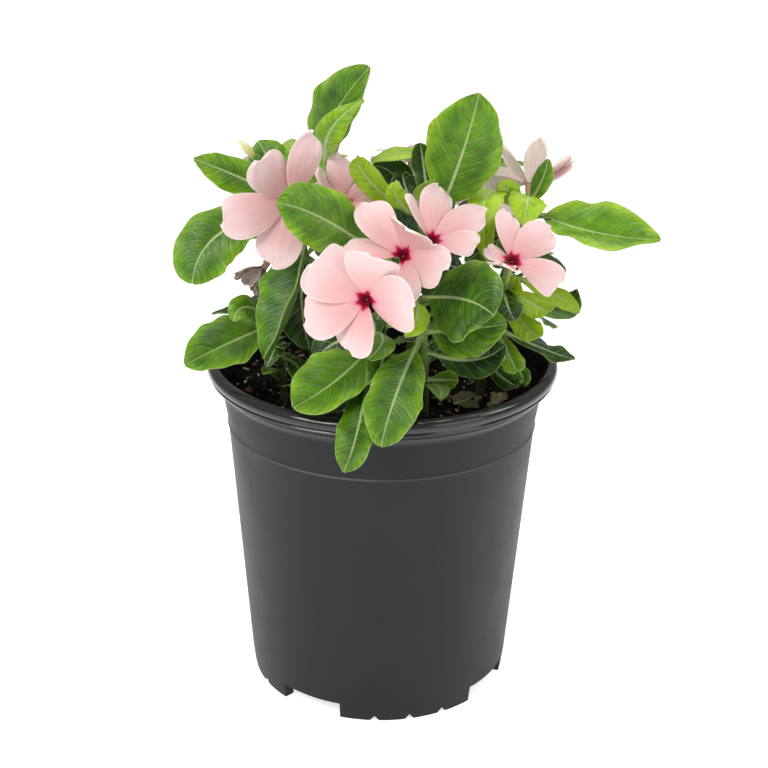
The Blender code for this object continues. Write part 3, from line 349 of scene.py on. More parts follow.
class Bundle:
    """Sheets, tubes and lumps that become one mesh, with values stored at its points."""

    def __init__(self):
        self.points = []
        self.faces = []
        self.values = {}
        self.count = 0

    def add(self, points, faces, **values):
        points = np.asarray(points, float).reshape(-1, 3)
        self.points.append(points)
        self.faces += [[self.count + corner for corner in face] for face in faces]
        for name, value in values.items():
            self.values.setdefault(name, []).append((self.count, np.broadcast_to(value, len(points))))
        self.count += len(points)

    def build(self, name, material, node=None, sharp=SHARP_ANGLE):
        """The mesh object, in metres, in its place on the frame's body."""
        points = np.concatenate(self.points) + (POT_X, POT_Y, 0)
        mesh = closed_mesh(name, (points * MM).tolist(), self.faces)
        for key, parts in self.values.items():
            whole = np.zeros(self.count, np.float32)
            for start, value in parts:
                whole[start:start + len(value)] = value
            mesh.attributes.new(key, "FLOAT", "POINT").data.foreach_set("value", whole)
        mesh.materials.append(material)
        mesh.shade_smooth()
        mesh.set_sharp_from_angle(angle=math.radians(sharp))
        piece = placed(name, mesh)
        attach(piece, BODY)
        if node:
            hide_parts(node)


def sheet_faces(rows, columns):
    """Faces of a closed sheet: the upper points come first, then the lower ones."""
    lower = rows * columns
    faces = []
    for row in range(rows - 1):
        for column in range(columns - 1):
            a = row * columns + column
            b, c, d = a + 1, a + columns + 1, a + columns
            faces += [(a, b, c, d), (lower + d, lower + c, lower + b, lower + a)]
    ring = [(0, column) for column in range(columns)]
    ring += [(row, columns - 1) for row in range(1, rows)]
    ring += [(rows - 1, column) for column in range(columns - 2, -1, -1)]
    ring += [(row, 0) for row in range(rows - 2, 0, -1)]
    ring = [row * columns + column for row, column in ring]
    for a, b in zip(ring, ring[1:] + ring[:1]):
        faces.append((b, a, lower + a, lower + b))
    return faces


def add_sheet(bundle, grid, relief, thick, **values):
    """A closed thin sheet over a grid of points, pushed along its normals by a relief."""
    normals = unit(np.cross(np.gradient(grid, axis=1), np.gradient(grid, axis=0)))
    middle = grid + normals * relief[..., None]
    half = normals * (thick / 2)[:, None, None]
    points = np.concatenate([(middle + half).reshape(-1, 3), (middle - half).reshape(-1, 3)])
    spread = {}
    for name, value in values.items():
        flat = np.broadcast_to(value, relief.shape).reshape(-1)
        spread[name] = np.concatenate([flat, flat])
    spread["under"] = np.repeat([0.0, 1.0], relief.size)
    bundle.add(points, sheet_faces(*relief.shape), **spread)


def outline(share, rise, blunt):
    """How wide a leaf or petal is at a share of its length, from 0 to 1 at its widest."""
    peak = rise / (rise + blunt)
    return (share / peak) ** rise * ((1 - share) / (1 - peak)) ** blunt


# Leaf blades: lengths in millimetres, waves as their number along a leaf, shifts in radians
LEAF_CELL = 1.15    # size of the grid's cells
LEAF_CROWD = 1.35   # the grid's rows stand closer together towards the tip
EDGE_CROWD = 0.43 * math.pi   # and its columns closer together towards the edges
LEAF_END = 0.9995   # the last row lies just short of the tip
LEAF_THICK = 0.45
PETIOLE_THICK = 1.5
VEIN_SPACING = 5.2
VEIN_LEAN = 0.62
VEIN_ARCH = 0.6
VEIN_LEAST = 3.0
QUILT_HEIGHT = 0.8
QUILT_SHARPNESS = 0.75
QUILT_MIDDLE = 0.6
RIB_DEPTH = 0.4
RIB_WIDTH = 0.8
LEAST_ROWS = 16
LEAST_CELLS = 4
BLADE_START = 1e-4
FULL_WIDTH = 24.0   # leaves narrower than this have a finer relief
CREASE_ROUND = 0.06
EDGE_RIPPLE = 0.5
RIPPLE_WAVES = 4.3
RIPPLE_SLANT = 0.4
EDGE_WOBBLE = 0.035
BULGE_WAVES = 2.6
BULGE_SHIFT = 1.7
SMALL_BULGE = 0.6
SMALL_BULGE_WAVES = 5.1
SMALL_BULGE_SHIFT = 2.3

# Where a shape sets in or fades out: shares of a leaf or petal, and millimetres from the midrib
STALK_END = (0.08, 0.22)
QUILT_START = (0.0, 0.12)
QUILT_EDGE = (0.82, 1.0)
QUILT_FROM_RIB = (0.2, 2.2)
RIB_START = (0.0, 0.1)
PLEAT_START = (0.05, 0.3)
PLEAT_END = (0.5, 0.95)
FRILL_END = (0.6, 1.0)


def leaf_spine(base, mid, tip, face, s):
    """The middle line of a leaf, and the directions across and up all along it."""
    bend = mid * 2 - (base + tip) / 2
    centre = base * (1 - s) ** 2 + bend * 2 * s * (1 - s) + tip * s ** 2
    along = unit((bend - base) * (1 - s) + (tip - bend) * s)
    side = unit(np.cross(tip - base, np.array(face, float)))
    side = unit(side - along * (along @ side)[:, None])
    return centre, side, np.cross(side, along)


def leaf_bend(spec, s, c, half, seed):
    """How far a blade's points lie above its middle line, and how far out from it."""
    lift = spec["fold"] * (np.sqrt(c ** 2 + CREASE_ROUND ** 2) - CREASE_ROUND) - spec["curl"] * c ** 2
    wave = np.sin(2 * math.pi * LEAF_WAVES * s + LEAF_WAVE_SHIFT * c)
    lift = (lift + spec["wave"] * wave * c ** 2) * half
    ripple = np.sin(2 * math.pi * (RIPPLE_WAVES * s + RIPPLE_SLANT * c) + seed)
    lift += EDGE_RIPPLE * min(1.0, spec["width"] / FULL_WIDTH) * ripple * np.abs(c) ** 3
    bulge = np.sin(2 * math.pi * BULGE_WAVES * s + seed + BULGE_SHIFT * np.sign(c))
    small = np.sin(2 * math.pi * SMALL_BULGE_WAVES * s + 2 * seed - SMALL_BULGE_SHIFT * np.sign(c))
    bulge = bulge + SMALL_BULGE * small
    return lift, c * half * (1 + EDGE_WOBBLE * bulge * np.abs(c))


def leaf_relief(spec, blade, c, half, veins, lean):
    """A blade quilted between its arched side veins, with a creased midrib."""
    phase = (blade - lean * np.abs(c) * (1 + VEIN_ARCH * np.abs(c))) * veins + 0.5 * (c > 0)
    between = np.abs(np.sin(math.pi * phase)) ** QUILT_SHARPNESS
    fade = smooth_step(*QUILT_START, blade) * (1 - smooth_step(*QUILT_EDGE, np.abs(c)))
    from_rib = np.abs(c) * half
    quilt = QUILT_HEIGHT * min(1.0, spec["width"] / FULL_WIDTH) * (between - QUILT_MIDDLE) * fade
    rib = RIB_DEPTH * np.exp(-(from_rib / RIB_WIDTH) ** 2) * smooth_step(*RIB_START, blade)
    return quilt * smooth_step(*QUILT_FROM_RIB, from_rib) - rib


def leaf_sheet(bundle, base, spec, seed):
    """One leaf with its stalk, a creased midrib, a quilted blade and a rippled edge."""
    base, mid, tip = (np.array(spot, float) for spot in (base, spec["mid"], spec["tip"]))
    length = np.linalg.norm(mid - base) + np.linalg.norm(tip - mid)
    width = spec["width"]
    rows = int(max(LEAST_ROWS, length / LEAF_CELL))
    columns = 2 * int(max(LEAST_CELLS, width / LEAF_CELL / 2)) + 1
    share = 1 - (1 - np.linspace(0, 1, rows)) ** LEAF_CROWD
    share[-1] = LEAF_END
    s = share[:, None]
    c = np.sin(np.linspace(-1, 1, columns) * EDGE_CROWD)[None, :] / math.sin(EDGE_CROWD)
    blade = np.clip((s - PETIOLE_SHARE) / (1 - PETIOLE_SHARE), BLADE_START, 1)
    half = width / 2 * outline(blade, LEAF_RISE, spec["blunt"])
    half[:-1] = np.maximum(PETIOLE_HALF, half[:-1])
    lift, reach = leaf_bend(spec, s, c, half, seed)
    centre, side, up = leaf_spine(base, mid, tip, spec["face"], s)
    grid = centre[:, None, :] + side[:, None, :] * reach[..., None] + up[:, None, :] * lift[..., None]
    blade_length = length * (1 - PETIOLE_SHARE)
    veins = max(VEIN_LEAST, round(blade_length / VEIN_SPACING))
    lean = VEIN_LEAN * width / 2 / blade_length
    relief = leaf_relief(spec, blade, c, half, veins, lean)
    thick = PETIOLE_THICK + (LEAF_THICK - PETIOLE_THICK) * smooth_step(*STALK_END, share)
    add_sheet(bundle, grid, relief, thick, along=blade, across=c, half=half, veins=veins, lean=lean,
              gap=blade_length / veins, tone=spec["tone"], seed=seed)


# Petals: lengths in millimetres, frills and folds as their number across or along a petal
PETAL_ROWS = 30
PETAL_COLUMNS = 21
PETAL_CROWD = 1.7
PETAL_END = 0.9998
PETAL_THICK = 0.4
PETAL_SKEW = 0.06   # one side of a petal is fuller than the other
PETAL_SLANT = 0.05  # and reaches farther out
PETAL_SCALLOPS = 3
PETAL_SCALLOP = 0.006
PLEATS = 5
PLEAT_HEIGHT = 0.06
FRILL = 0.65
FRILL_WAVES = (2.3, 3.1)   # across and along
FRILL_TURNS = 4.0
CRUMPLE_FOLDS = (9.0, 7.0)
WILTED_FRILL = 0.9
WILTED_CRUMPLE = 0.9


def petal_lift(c, s, half, seed, frill, crumple):
    """How far a petal's points lie above its middle line: cupped, frilled and, when wilted, crumpled."""
    wave = np.sin(math.pi * (FRILL_WAVES[0] * c + FRILL_WAVES[1] * s) + seed) * s ** 3 * np.abs(c)
    lift = -PETAL_CUP * c ** 2 * half + frill * wave
    lift += frill / 2 * np.sin(FRILL_TURNS * c + seed * 2) * smooth_step(*FRILL_END, s)
    folds = np.sin(CRUMPLE_FOLDS[0] * c + seed) * np.sin(CRUMPLE_FOLDS[1] * s + seed)
    return lift + crumple * folds * s


def petal_sheet(bundle, spec, number, seed, frill, crumple):
    """One petal, from its narrow claw at the eye to its broad limb, tilted like a pinwheel's blade."""
    facing = unit(np.array(spec["facing"], float))
    right = np.array([1.0, 0, 0])
    right = unit(right - facing * right.dot(facing))
    own = spec["petals"][number]
    angle = math.radians(own["angle"])
    outward = right * math.cos(angle) + np.cross(facing, right) * math.sin(angle)
    tangent = np.cross(facing, outward)
    pitch = math.radians(own["pitch"])
    root = np.array(spec["centre"], float) + outward * PETAL_ROOT - facing * PETAL_SINK
    share = 1 - (1 - np.linspace(0, 1, PETAL_ROWS)) ** PETAL_CROWD
    share[-1] = PETAL_END
    s = share[:, None]
    c = np.linspace(1, -1, PETAL_COLUMNS)[None, :]
    bend = np.radians(own["lift"] * (1 - s) + own["tip"] * s)
    spot = outward * np.cos(bend) + facing * np.sin(bend)
    rise = facing * np.cos(bend) - outward * np.sin(bend)
    across = tangent * math.cos(pitch) + rise * math.sin(pitch)
    over = rise * math.cos(pitch) - tangent * math.sin(pitch)
    reach = (own["length"] - PETAL_ROOT) * s
    limb = own["width"] / 2 * outline(s, own["rise"], own["blunt"] + PETAL_SKEW * c)
    half = np.maximum(PETAL_CLAW * (1 - s), limb)
    lift = petal_lift(c, s, half, seed, frill, crumple)
    scallop = PETAL_SCALLOP * np.cos(PETAL_SCALLOPS * math.pi * c + seed) * (reach * s ** 6)
    slant = PETAL_SLANT * c * (reach * s) - scallop
    centre = root + spot * reach
    grid = centre[:, None, :] + across[:, None, :] * (c * half)[..., None]
    grid = grid + over[:, None, :] * lift[..., None] + spot[:, None, :] * slant[..., None]
    pleats = PLEAT_HEIGHT * np.cos(PLEATS * math.pi * c)
    pleats = pleats * smooth_step(*PLEAT_START, s) * (1 - smooth_step(*PLEAT_END, s))
    add_sheet(bundle, grid, pleats, np.full(PETAL_ROWS, PETAL_THICK), along=s, across=c, reach=reach,
              half=half, seed=seed)


def band_faces(rings, sides):
    """Faces between rings of points that follow each other."""
    faces = []
    for low in range(0, (rings - 1) * sides, sides):
        for side in range(sides):
            nxt = (side + 1) % sides
            faces.append([low + side, low + nxt, low + sides + nxt, low + sides + side])
    return faces


def rod_faces(rings, sides):
    """Faces of a rod: its two ends, then the bands between its rings of points."""
    last = (rings - 1) * sides
    return [list(range(sides))[::-1], list(range(last, last + sides))] + band_faces(rings, sides)


def all_round(across, side_way, sides):
    """Angles all round, each with its direction in the plane of the two given ones."""
    angles = [2 * math.pi * side / sides for side in range(sides)]
    return [(angle, across * math.cos(angle) + side_way * math.sin(angle)) for angle in angles]


def add_tube(bundle, points, radii, sides, ridges=0.0, twist=0.0, **values):
    """A closed rod along a list of points, with a radius at each and, for a bud, five wound ridges."""
    points = [Vector(p) for p in points]
    verts = []
    across = None
    for index, point in enumerate(points):
        before = points[max(index - 1, 0)]
        after = points[min(index + 1, len(points) - 1)]
        along = (after - before).normalized()
        if across is None:
            across = along.orthogonal().normalized()
        across = (across - along * across.dot(along)).normalized()
        for angle, way in all_round(across, along.cross(across), sides):
            swell = 1 + ridges * math.cos(BUD_RIDGES * angle + twist * index / len(points))
            verts.append(tuple(point + way * radii[index] * swell))
    bundle.add(verts, rod_faces(len(points), sides), **values)


def smooth_points(points, count):
    """Points along one smooth curve through the given ones."""
    points = [Vector(p) for p in points]
    ends = [points[0] * 2 - points[1]] + points + [points[-1] * 2 - points[-2]]
    found = []
    for step in range(count + 1):
        place = step / count * (len(points) - 1)
        span = min(int(place), len(points) - 2)
        t = place - span
        before, start, end, after = ends[span:span + 4]
        found.append(0.5 * (
            2 * start + (end - before) * t
            + (2 * before - 5 * start + 4 * end - after) * t ** 2
            + (3 * start - before - 3 * end + after) * t ** 3
        ))
    return found


STEM_STEPS = 6   # the plain solid stem has straight runs between these points
STEM_SIDES = 14
STALK_RINGS = 14
STALK_SIDES = 10
CUP_SHARES = (-0.1, 0.1, 0.35, 0.6, 0.85)
CUP_RADII = (STALK_RADIUS, STALK_RADIUS * 1.3, 1.5, 1.55, 1.35)
SEPALS = 5
SEPAL_SIDES = 6
SEPAL_RADII = (0.75, 0.55, 0.12)
SEPAL_FOOT = 1.25
SEPAL_BULGE = 0.35
SEPAL_RISE = 1.3
SEPAL_START = 0.45
SEPAL_TURN = 0.15


def stem_points(spec):
    """The middle line of a stem, from the foot of its hole in the soil to its growing tip."""
    x, y = spec["path"][0]
    foot = (x, y, SOIL_TOP - HOLE_DEPTH + GAP)
    return smooth_points([foot] + spec["path"][1:], STEM_STEPS)


def stem_spot(points, share):
    """The point at a share of a stem's length."""
    place = share * (len(points) - 1)
    low = min(int(place), len(points) - 2)
    return points[low].lerp(points[low + 1], place - low)


def add_stalk(bundle, start, end, way, rng):
    """A thin stalk out to the foot of a flower or bud, ending in a calyx of five narrow sepals."""
    foot = end - way * CALYX_LENGTH
    control = foot - way * (foot - start).length * STALK_PULL
    points = []
    for step in range(STALK_RINGS + 1):
        t = step / STALK_RINGS
        points.append(start * (1 - t) ** 2 + control * 2 * t * (1 - t) + foot * t ** 2)
    add_tube(bundle, points, [STALK_RADIUS] * len(points), STALK_SIDES, woody=0.0)
    cup = [foot + way * CALYX_LENGTH * share for share in CUP_SHARES]
    add_tube(bundle, cup, CUP_RADII, STALK_SIDES, woody=0.0)
    side = way.orthogonal().normalized()
    for number in range(SEPALS):
        angle = 2 * math.pi * number / SEPALS + rng.uniform(-SEPAL_TURN, SEPAL_TURN)
        turn = Matrix.Rotation(angle, 3, way) @ side
        low = foot + way * CALYX_LENGTH * SEPAL_START + turn * SEPAL_FOOT
        high = end + way * SEPAL_RISE + turn * (CALYX_RADIUS + SEPAL_BULGE)
        middle = (low + high) / 2 + turn * SEPAL_BULGE
        add_tube(bundle, [low, middle, high], SEPAL_RADII, SEPAL_SIDES, woody=0.0)


AXIL_SHARES = (0.3, 0.4, 0.5, 0.6, 0.7, 0.8)
AXIL_LENGTHS = (12.0, 22.0)
AXIL_SLIMNESS = 0.5
AXIL_TURN = 0.4
AXIL_OUT = 0.5
AXIL_RISE = 0.35
AXIL_TIP_RISE = (0.2, 0.4)   # the least rise, and how much a draw can add
AXIL_LEAN = -0.4
AXIL_UP = 0.9


def add_axil_leaves(leaves, points, rng):
    """Pairs of small leaves close about the lower stem, above the scars of its first ones."""
    for share in AXIL_SHARES:
        spot = stem_spot(points, share)
        turn = rng.uniform(0, math.tau)
        for opposite in (0, math.pi):
            angle = turn + opposite + rng.uniform(-AXIL_TURN, AXIL_TURN)
            away = Vector((math.cos(angle), math.sin(angle), 0))
            length = rng.uniform(*AXIL_LENGTHS)
            mid = spot + (away * AXIL_OUT + Vector((0, 0, AXIL_RISE))) * length
            tip_rise = AXIL_TIP_RISE[0] + AXIL_TIP_RISE[1] * rng.random()
            tip = spot + (away + Vector((0, 0, tip_rise))) * length
            face = (AXIL_LEAN * away.x, AXIL_LEAN * away.y, AXIL_UP)
            spec = leaf(share, mid, tip, length * AXIL_SLIMNESS, face, tone=rng.uniform(INSIDE_SHADE_TONE, MID))
            leaf_sheet(leaves, spot, spec, rng.uniform(0, SEEDS))


def add_leafy_stem(leaves, rods, spec, rng):
    """A stem with all its leaves, and the stalks out to its flowers and buds."""
    points = stem_points(spec)
    taper = np.linspace(STEM_FOOT, STEM_TIP, STEM_STEPS + 1)
    radii = [STEM_SLIM * float(radius) for radius in taper]
    add_tube(rods, points, radii, STEM_SIDES, woody=1.0)
    for one in spec["leaves"]:
        leaf_sheet(leaves, stem_spot(points, one["at"]), one, rng.uniform(0, SEEDS))
    add_axil_leaves(leaves, points, rng)
    for one in spec["blooms"]:
        facing = Vector(one["facing"]).normalized()
        end = Vector(one["centre"]) - facing * (TUBE_LENGTH + GAP)
        add_stalk(rods, stem_spot(points, one["at"]), end, facing, rng)
    for one in spec["buds"]:
        way = (Vector(one["tip"]) - Vector(one["base"])).normalized()
        add_stalk(rods, stem_spot(points, one["at"]), Vector(one["base"]) - way * GAP, way, rng)


# Throat: height from the eye and radius, up the outside and then down inside the mouth
THROAT_OUTSIDE = ((-TUBE_LENGTH, 0.9), (-12, 1.15), (-6, 1.3), (-4, 1.5), (-2.2, 1.6))
THROAT_MOUTH = ((-1.0, 1.7), (-0.3, 1.75), (-0.1, 1.6), (-0.25, 1.2), (-0.45, 0.8), (-0.7, 0.45),
                (-1.0, 0.25))
THROAT_SIDES = 20


def add_throat(bundle, spec):
    """The slim tube behind a flower and its open mouth, a little funnel between the claws."""
    facing = Vector(spec["facing"]).normalized()
    across = facing.orthogonal().normalized()
    profile = THROAT_OUTSIDE + THROAT_MOUTH
    round_ways = all_round(across, facing.cross(across), THROAT_SIDES)
    verts = []
    for height, radius in profile:
        point = Vector(spec["centre"]) + facing * height
        verts += [tuple(point + way * radius) for _, way in round_ways]
    inner = [0.0] * len(THROAT_OUTSIDE) + [1.0] * len(THROAT_MOUTH)
    bundle.add(verts, rod_faces(len(profile), THROAT_SIDES), inner=np.repeat(inner, THROAT_SIDES),
               depth=np.repeat([height for height, _ in profile], THROAT_SIDES))


# Closed buds: the share of the length and the share of the widest radius there
BUD_SHAPE = ((0.0, 0.45), (0.1, 0.62), (0.2, 0.8), (0.33, 0.94), (0.45, 1.0), (0.58, 0.93), (0.7, 0.78),
             (0.8, 0.6), (0.9, 0.4), (0.96, 0.25), (1.0, 0.12))
BUD_SIDES = 30
BUD_SLIM = 0.78
BUD_RIDGE = 0.06
BUD_RIDGES = 5
BUD_TWIST = 3.6


def add_bud(bundle, spec):
    """A closed bud whose five petals are wound about each other."""
    base = Vector(spec["base"])
    tip = Vector(spec["tip"])
    points = [base + (tip - base) * share for share, _ in BUD_SHAPE]
    radii = [spec["radius"] * BUD_SLIM * size for _, size in BUD_SHAPE]
    add_tube(bundle, points, radii, BUD_SIDES, ridges=BUD_RIDGE, twist=BUD_TWIST,
             height=np.repeat([share for share, _ in BUD_SHAPE], BUD_SIDES))


def circle(radius, sides, height):
    """Points around a circle about the pot's axis."""
    turns = [2 * math.pi * (step + 0.5) / sides for step in range(sides)]
    return [(radius * math.cos(turn), radius * math.sin(turn), height) for turn in turns]


# The rolled rim in section: how far each point lies inside its widest radius and under its top
RIM_BEAD = (
    (3.0, 0.0), (1.8, 0.25), (0.8, 0.9), (0.2, 1.9), (0.0, 3.0), (0.15, 4.1), (0.6, 4.8), (1.3, 5.1),
    (1.6, 5.4), (1.45, 5.9), (1.1, 6.4), (1.25, 7.1), (2.1, 7.9), (2.8, 8.8),
)
RIM_CHAMFER = (0.9, 1.2)
NECK_CURVE = (0.4, 1.6)


def pot_profile():
    """The wall in section: down the outside from the rim, then up the inside."""
    inner_floor = FLOOR_RADIUS - WALL
    inner_rim = RIM_RADIUS - RIM_INNER_INSET
    outside = [(RIM_RADIUS - inset, RIM_TOP - drop) for inset, drop in RIM_BEAD]
    outside += [
        (NECK_RADIUS + NECK_FLARE, NECK_HEIGHT + NECK_FLARE_HEIGHT),
        (NECK_RADIUS + NECK_CURVE[0], NECK_HEIGHT + NECK_CURVE[1]),
        (NECK_RADIUS, NECK_HEIGHT),
        (STEP_RADIUS, STEP_HEIGHT + STEP_ROUND),
        (STEP_RADIUS + STEP_LEDGE, STEP_HEIGHT),
        (STEP_RADIUS, STEP_HEIGHT - STEP_ROUND),
        (FLOOR_RADIUS, FLOOR_HEIGHT),
        (FOOT_RADIUS, 0.0),
        (FOOT_RADIUS - FOOT_WALL, 0.0),
        (FOOT_RADIUS - FOOT_WALL, FLOOR_UNDER),
        (0.0, FLOOR_UNDER),
    ]
    inside = [
        (0.0, FLOOR_HEIGHT),
        (inner_floor - FLOOR_FILLET / 2, FLOOR_HEIGHT),
        (inner_floor, FLOOR_HEIGHT + FLOOR_FILLET),
        (STEP_RADIUS - WALL, STEP_HEIGHT),
        (NECK_RADIUS - WALL, NECK_HEIGHT),
        (NECK_RADIUS + NECK_FLARE - WALL, NECK_HEIGHT + NECK_FLARE_HEIGHT),
        (inner_rim, RIM_TOP - RIM_CHAMFER[1]),
        (inner_rim + RIM_CHAMFER[0], RIM_TOP),
    ]
    return outside + inside


def solid(name, verts, faces):
    """A closed mesh object, in millimetres, used for the pot and its cutters."""
    return placed(name, closed_mesh(name, [tuple(v) for v in verts], faces))


def revolve(profile, sides):
    """Points and faces of a profile turned about the pot's axis."""
    verts = []
    rings = []
    for radius, height in profile:
        ring = [(0, 0, height)] if radius == 0 else circle(radius, sides, height)
        rings.append((len(verts), len(ring)))
        verts += ring
    faces = []
    for (low, count), (high, next_count) in zip(rings, rings[1:] + rings[:1]):
        for side in range(sides):
            a, b = low + side % count, low + (side + 1) % count
            c, d = high + (side + 1) % next_count, high + side % next_count
            corners = list(dict.fromkeys([a, b, c, d]))
            if len(corners) > 2:
                faces.append(corners)
    return verts, faces


SECTOR_STEPS = 12
DRAIN_SIDES = 32


def sector(middle, span):
    """A wedge-shaped block about the axis, used to cut the gap between two feet."""
    angles = [math.radians(middle + span * (step / SECTOR_STEPS - 0.5)) for step in range(SECTOR_STEPS + 1)]
    verts = []
    for height in (-CUT_MARGIN, FLOOR_UNDER):
        for radius in (FOOT_RADIUS - FOOT_WALL - CUT_MARGIN, FLOOR_RADIUS + CUT_MARGIN):
            verts += [(radius * math.cos(angle), radius * math.sin(angle), height) for angle in angles]
    count = len(angles)
    edges = (0, count, 3 * count, 2 * count)
    faces = []
    for a in range(SECTOR_STEPS):
        for first, second in zip(edges, edges[1:] + edges[:1]):
            faces.append([first + a, first + a + 1, second + a + 1, second + a])
    faces += [[edge + end for edge in edges] for end in (0, SECTOR_STEPS)]
    return solid("foot_gap", verts, faces)


def notch(middle):
    """A small upright wedge that cuts one V into the bottom edge of a foot."""
    angle = math.radians(middle)
    outward = Vector((math.cos(angle), math.sin(angle), 0))
    side_way = Vector((-math.sin(angle), math.cos(angle), 0)) * NOTCH_WIDTH / 2
    down = Vector((0, 0, -CUT_MARGIN))
    spread = side_way * (1 + CUT_MARGIN / NOTCH_DEPTH)
    verts = []
    for radius in (FOOT_RADIUS - FOOT_WALL - CUT_MARGIN, FOOT_RADIUS + CUT_MARGIN):
        spot = outward * radius
        verts += [spot - spread + down, spot + spread + down, spot + Vector((0, 0, NOTCH_DEPTH))]
    return solid("notch", verts, [[0, 1, 2], [3, 4, 5], [0, 1, 4, 3], [1, 2, 5, 4], [2, 0, 3, 5]])


def drain(angle):
    """A short upright rod that cuts one drain hole through the floor."""
    x = DRAIN_CENTRES * math.cos(angle)
    y = DRAIN_CENTRES * math.sin(angle)
    verts = []
    for height in (FLOOR_UNDER - CUT_MARGIN, FLOOR_HEIGHT + CUT_MARGIN):
        verts += [(px + x, py + y, height) for px, py, _ in circle(DRAIN_RADIUS, DRAIN_SIDES, 0)]
    return solid("drain", verts, rod_faces(2, DRAIN_SIDES))


def cut(body, cutters):
    """Takes every cutter away from the body."""
    for cutter in cutters:
        step = body.modifiers.new("cut", "BOOLEAN")
        step.operation = "DIFFERENCE"
        step.solver = "EXACT"
        step.object = cutter
    graph = bpy.context.evaluated_depsgraph_get()
    mesh = bpy.data.meshes.new_from_object(body.evaluated_get(graph))
    for made in [body] + cutters:
        bpy.data.objects.remove(made)
    return mesh


def pot_piece():
    """The pot: thin tapered wall, rolled rim, floor with drain holes and four notched feet."""
    body = solid("pot_blank", *revolve(pot_profile(), POT_SIDES))
    pitch = 360.0 / FOOT_COUNT
    cutters = []
    for number in range(FOOT_COUNT):
        middle = FOOT_TURN - 90 + pitch * number
        between = middle + pitch / 2
        cutters.append(sector(between, pitch - FOOT_SPAN))
        for step in range(1, FOOT_LOBES):
            cutters.append(notch(middle - FOOT_SPAN / 2 + FOOT_SPAN / FOOT_LOBES * step))
        cutters.append(drain(math.radians(between)))
    mesh = cut(body, cutters)
    bundle = Bundle()
    bundle.add([tuple(v.co) for v in mesh.vertices], [list(p.vertices) for p in mesh.polygons])
    bpy.data.meshes.remove(mesh)
    bundle.build("pot_shell", pot_material(), "pot", sharp=SHARP_POT)


SOIL_SIDES = 200
SOIL_RINGS = 72
SOIL_SEED = 7
SOIL_WAVES = 44
SOIL_WAVE_STEPS = (0.2, 1.9)
SOIL_WAVE_HEIGHT = 0.16
SOIL_WAVE_SOFTNESS = 0.6


def soil_height(x, y):
    """The top of the soil: a low mound with gentle hollows, in millimetres."""
    away = np.hypot(x, y) / (NECK_RADIUS - WALL)
    hollows = np.sin(x * SOIL_ROLL_X) * np.cos(y * SOIL_ROLL_Y)
    return SOIL_TOP + SOIL_MOUND * (SOIL_MIDDLE - away ** 2) + SOIL_ROLL * hollows


def soil_piece(rng):
    """The soil that fills the pot, with a crumbly top."""
    inner_floor = FLOOR_RADIUS - WALL - GAP
    edge = NECK_RADIUS - WALL - GAP - SOIL_EDGE
    verts = circle(inner_floor - FLOOR_FILLET / 2 - GAP, SOIL_SIDES, FLOOR_HEIGHT + GAP)
    verts += circle(inner_floor, SOIL_SIDES, FLOOR_HEIGHT + FLOOR_FILLET + GAP)
    verts += circle(STEP_RADIUS - WALL - GAP, SOIL_SIDES, STEP_HEIGHT)
    verts += circle(edge, SOIL_SIDES, SOIL_TOP - SOIL_MOUND)
    waves = [(rng.uniform(*SOIL_WAVE_STEPS), rng.uniform(0, math.tau), rng.uniform(0, math.tau))
             for _ in range(SOIL_WAVES)]
    for ring in range(SOIL_RINGS - 1, 0, -1):
        x, y, _ = np.array(circle(edge * ring / SOIL_RINGS, SOIL_SIDES, 0)).T
        z = soil_height(x, y)
        for step, turn, start in waves:
            swing = np.sin(step * (x * math.cos(turn) + y * math.sin(turn)) + start)
            z += SOIL_WAVE_HEIGHT / (SOIL_WAVE_SOFTNESS + step) * swing
        verts += list(zip(x, y, z))
    last = len(verts) - SOIL_SIDES
    faces = [list(range(SOIL_SIDES))[::-1]] + band_faces(len(verts) // SOIL_SIDES, SOIL_SIDES)
    faces += [[last + side, last + (side + 1) % SOIL_SIDES, len(verts)] for side in range(SOIL_SIDES)]
    verts.append((0, 0, soil_height(0, 0)))
    bundle = Bundle()
    bundle.add(verts, faces)
    mix = soil_material("potting_mix_top", *MIX, 900.0)
    bundle.build("soil_body", mix, "soil", sharp=SHARP_SOIL)


# Lumps in the soil: shares of their size, and an angle in radians
LUMP_SINK = 0.45
LUMP_TILT = 0.5
LUMP_ROUGHNESS = (0.72, 1.15)
SCATTER_REACH = 73.0
SCATTER_SKEW = 2.5   # how strongly small lumps outnumber large ones


def add_lump(bundle, rng, x, y, size, flat, squash):
    """One small rough lump that lies in the top of the soil."""
    made = bmesh.new()
    bmesh.ops.create_icosphere(made, subdivisions=1, radius=1.0)
    turn = Matrix.Rotation(rng.uniform(0, math.tau), 3, "Z")
    turn = turn @ Matrix.Rotation(rng.uniform(-LUMP_TILT, LUMP_TILT), 3, "X")
    spot = Vector((x, y, float(soil_height(x, y)) + size * flat * LUMP_SINK))
    verts = []
    for v in made.verts:
        rough = Vector((v.co.x, v.co.y * squash, v.co.z * flat)) * (size * rng.uniform(*LUMP_ROUGHNESS))
        verts.append(tuple(turn @ rough + spot))
    bundle.add(verts, [[v.index for v in f.verts] for f in made.faces], seed=rng.random())
    made.free()


def give(tree, socket, value):
    """Sets a socket to a number or a colour, or links it to a value that varies."""
    if isinstance(value, Value):
        tree.links.new(value.socket, socket)
    elif isinstance(value, tuple) and len(value) < len(socket.default_value):
        socket.default_value = (*value, 1.0)
    else:
        socket.default_value = value


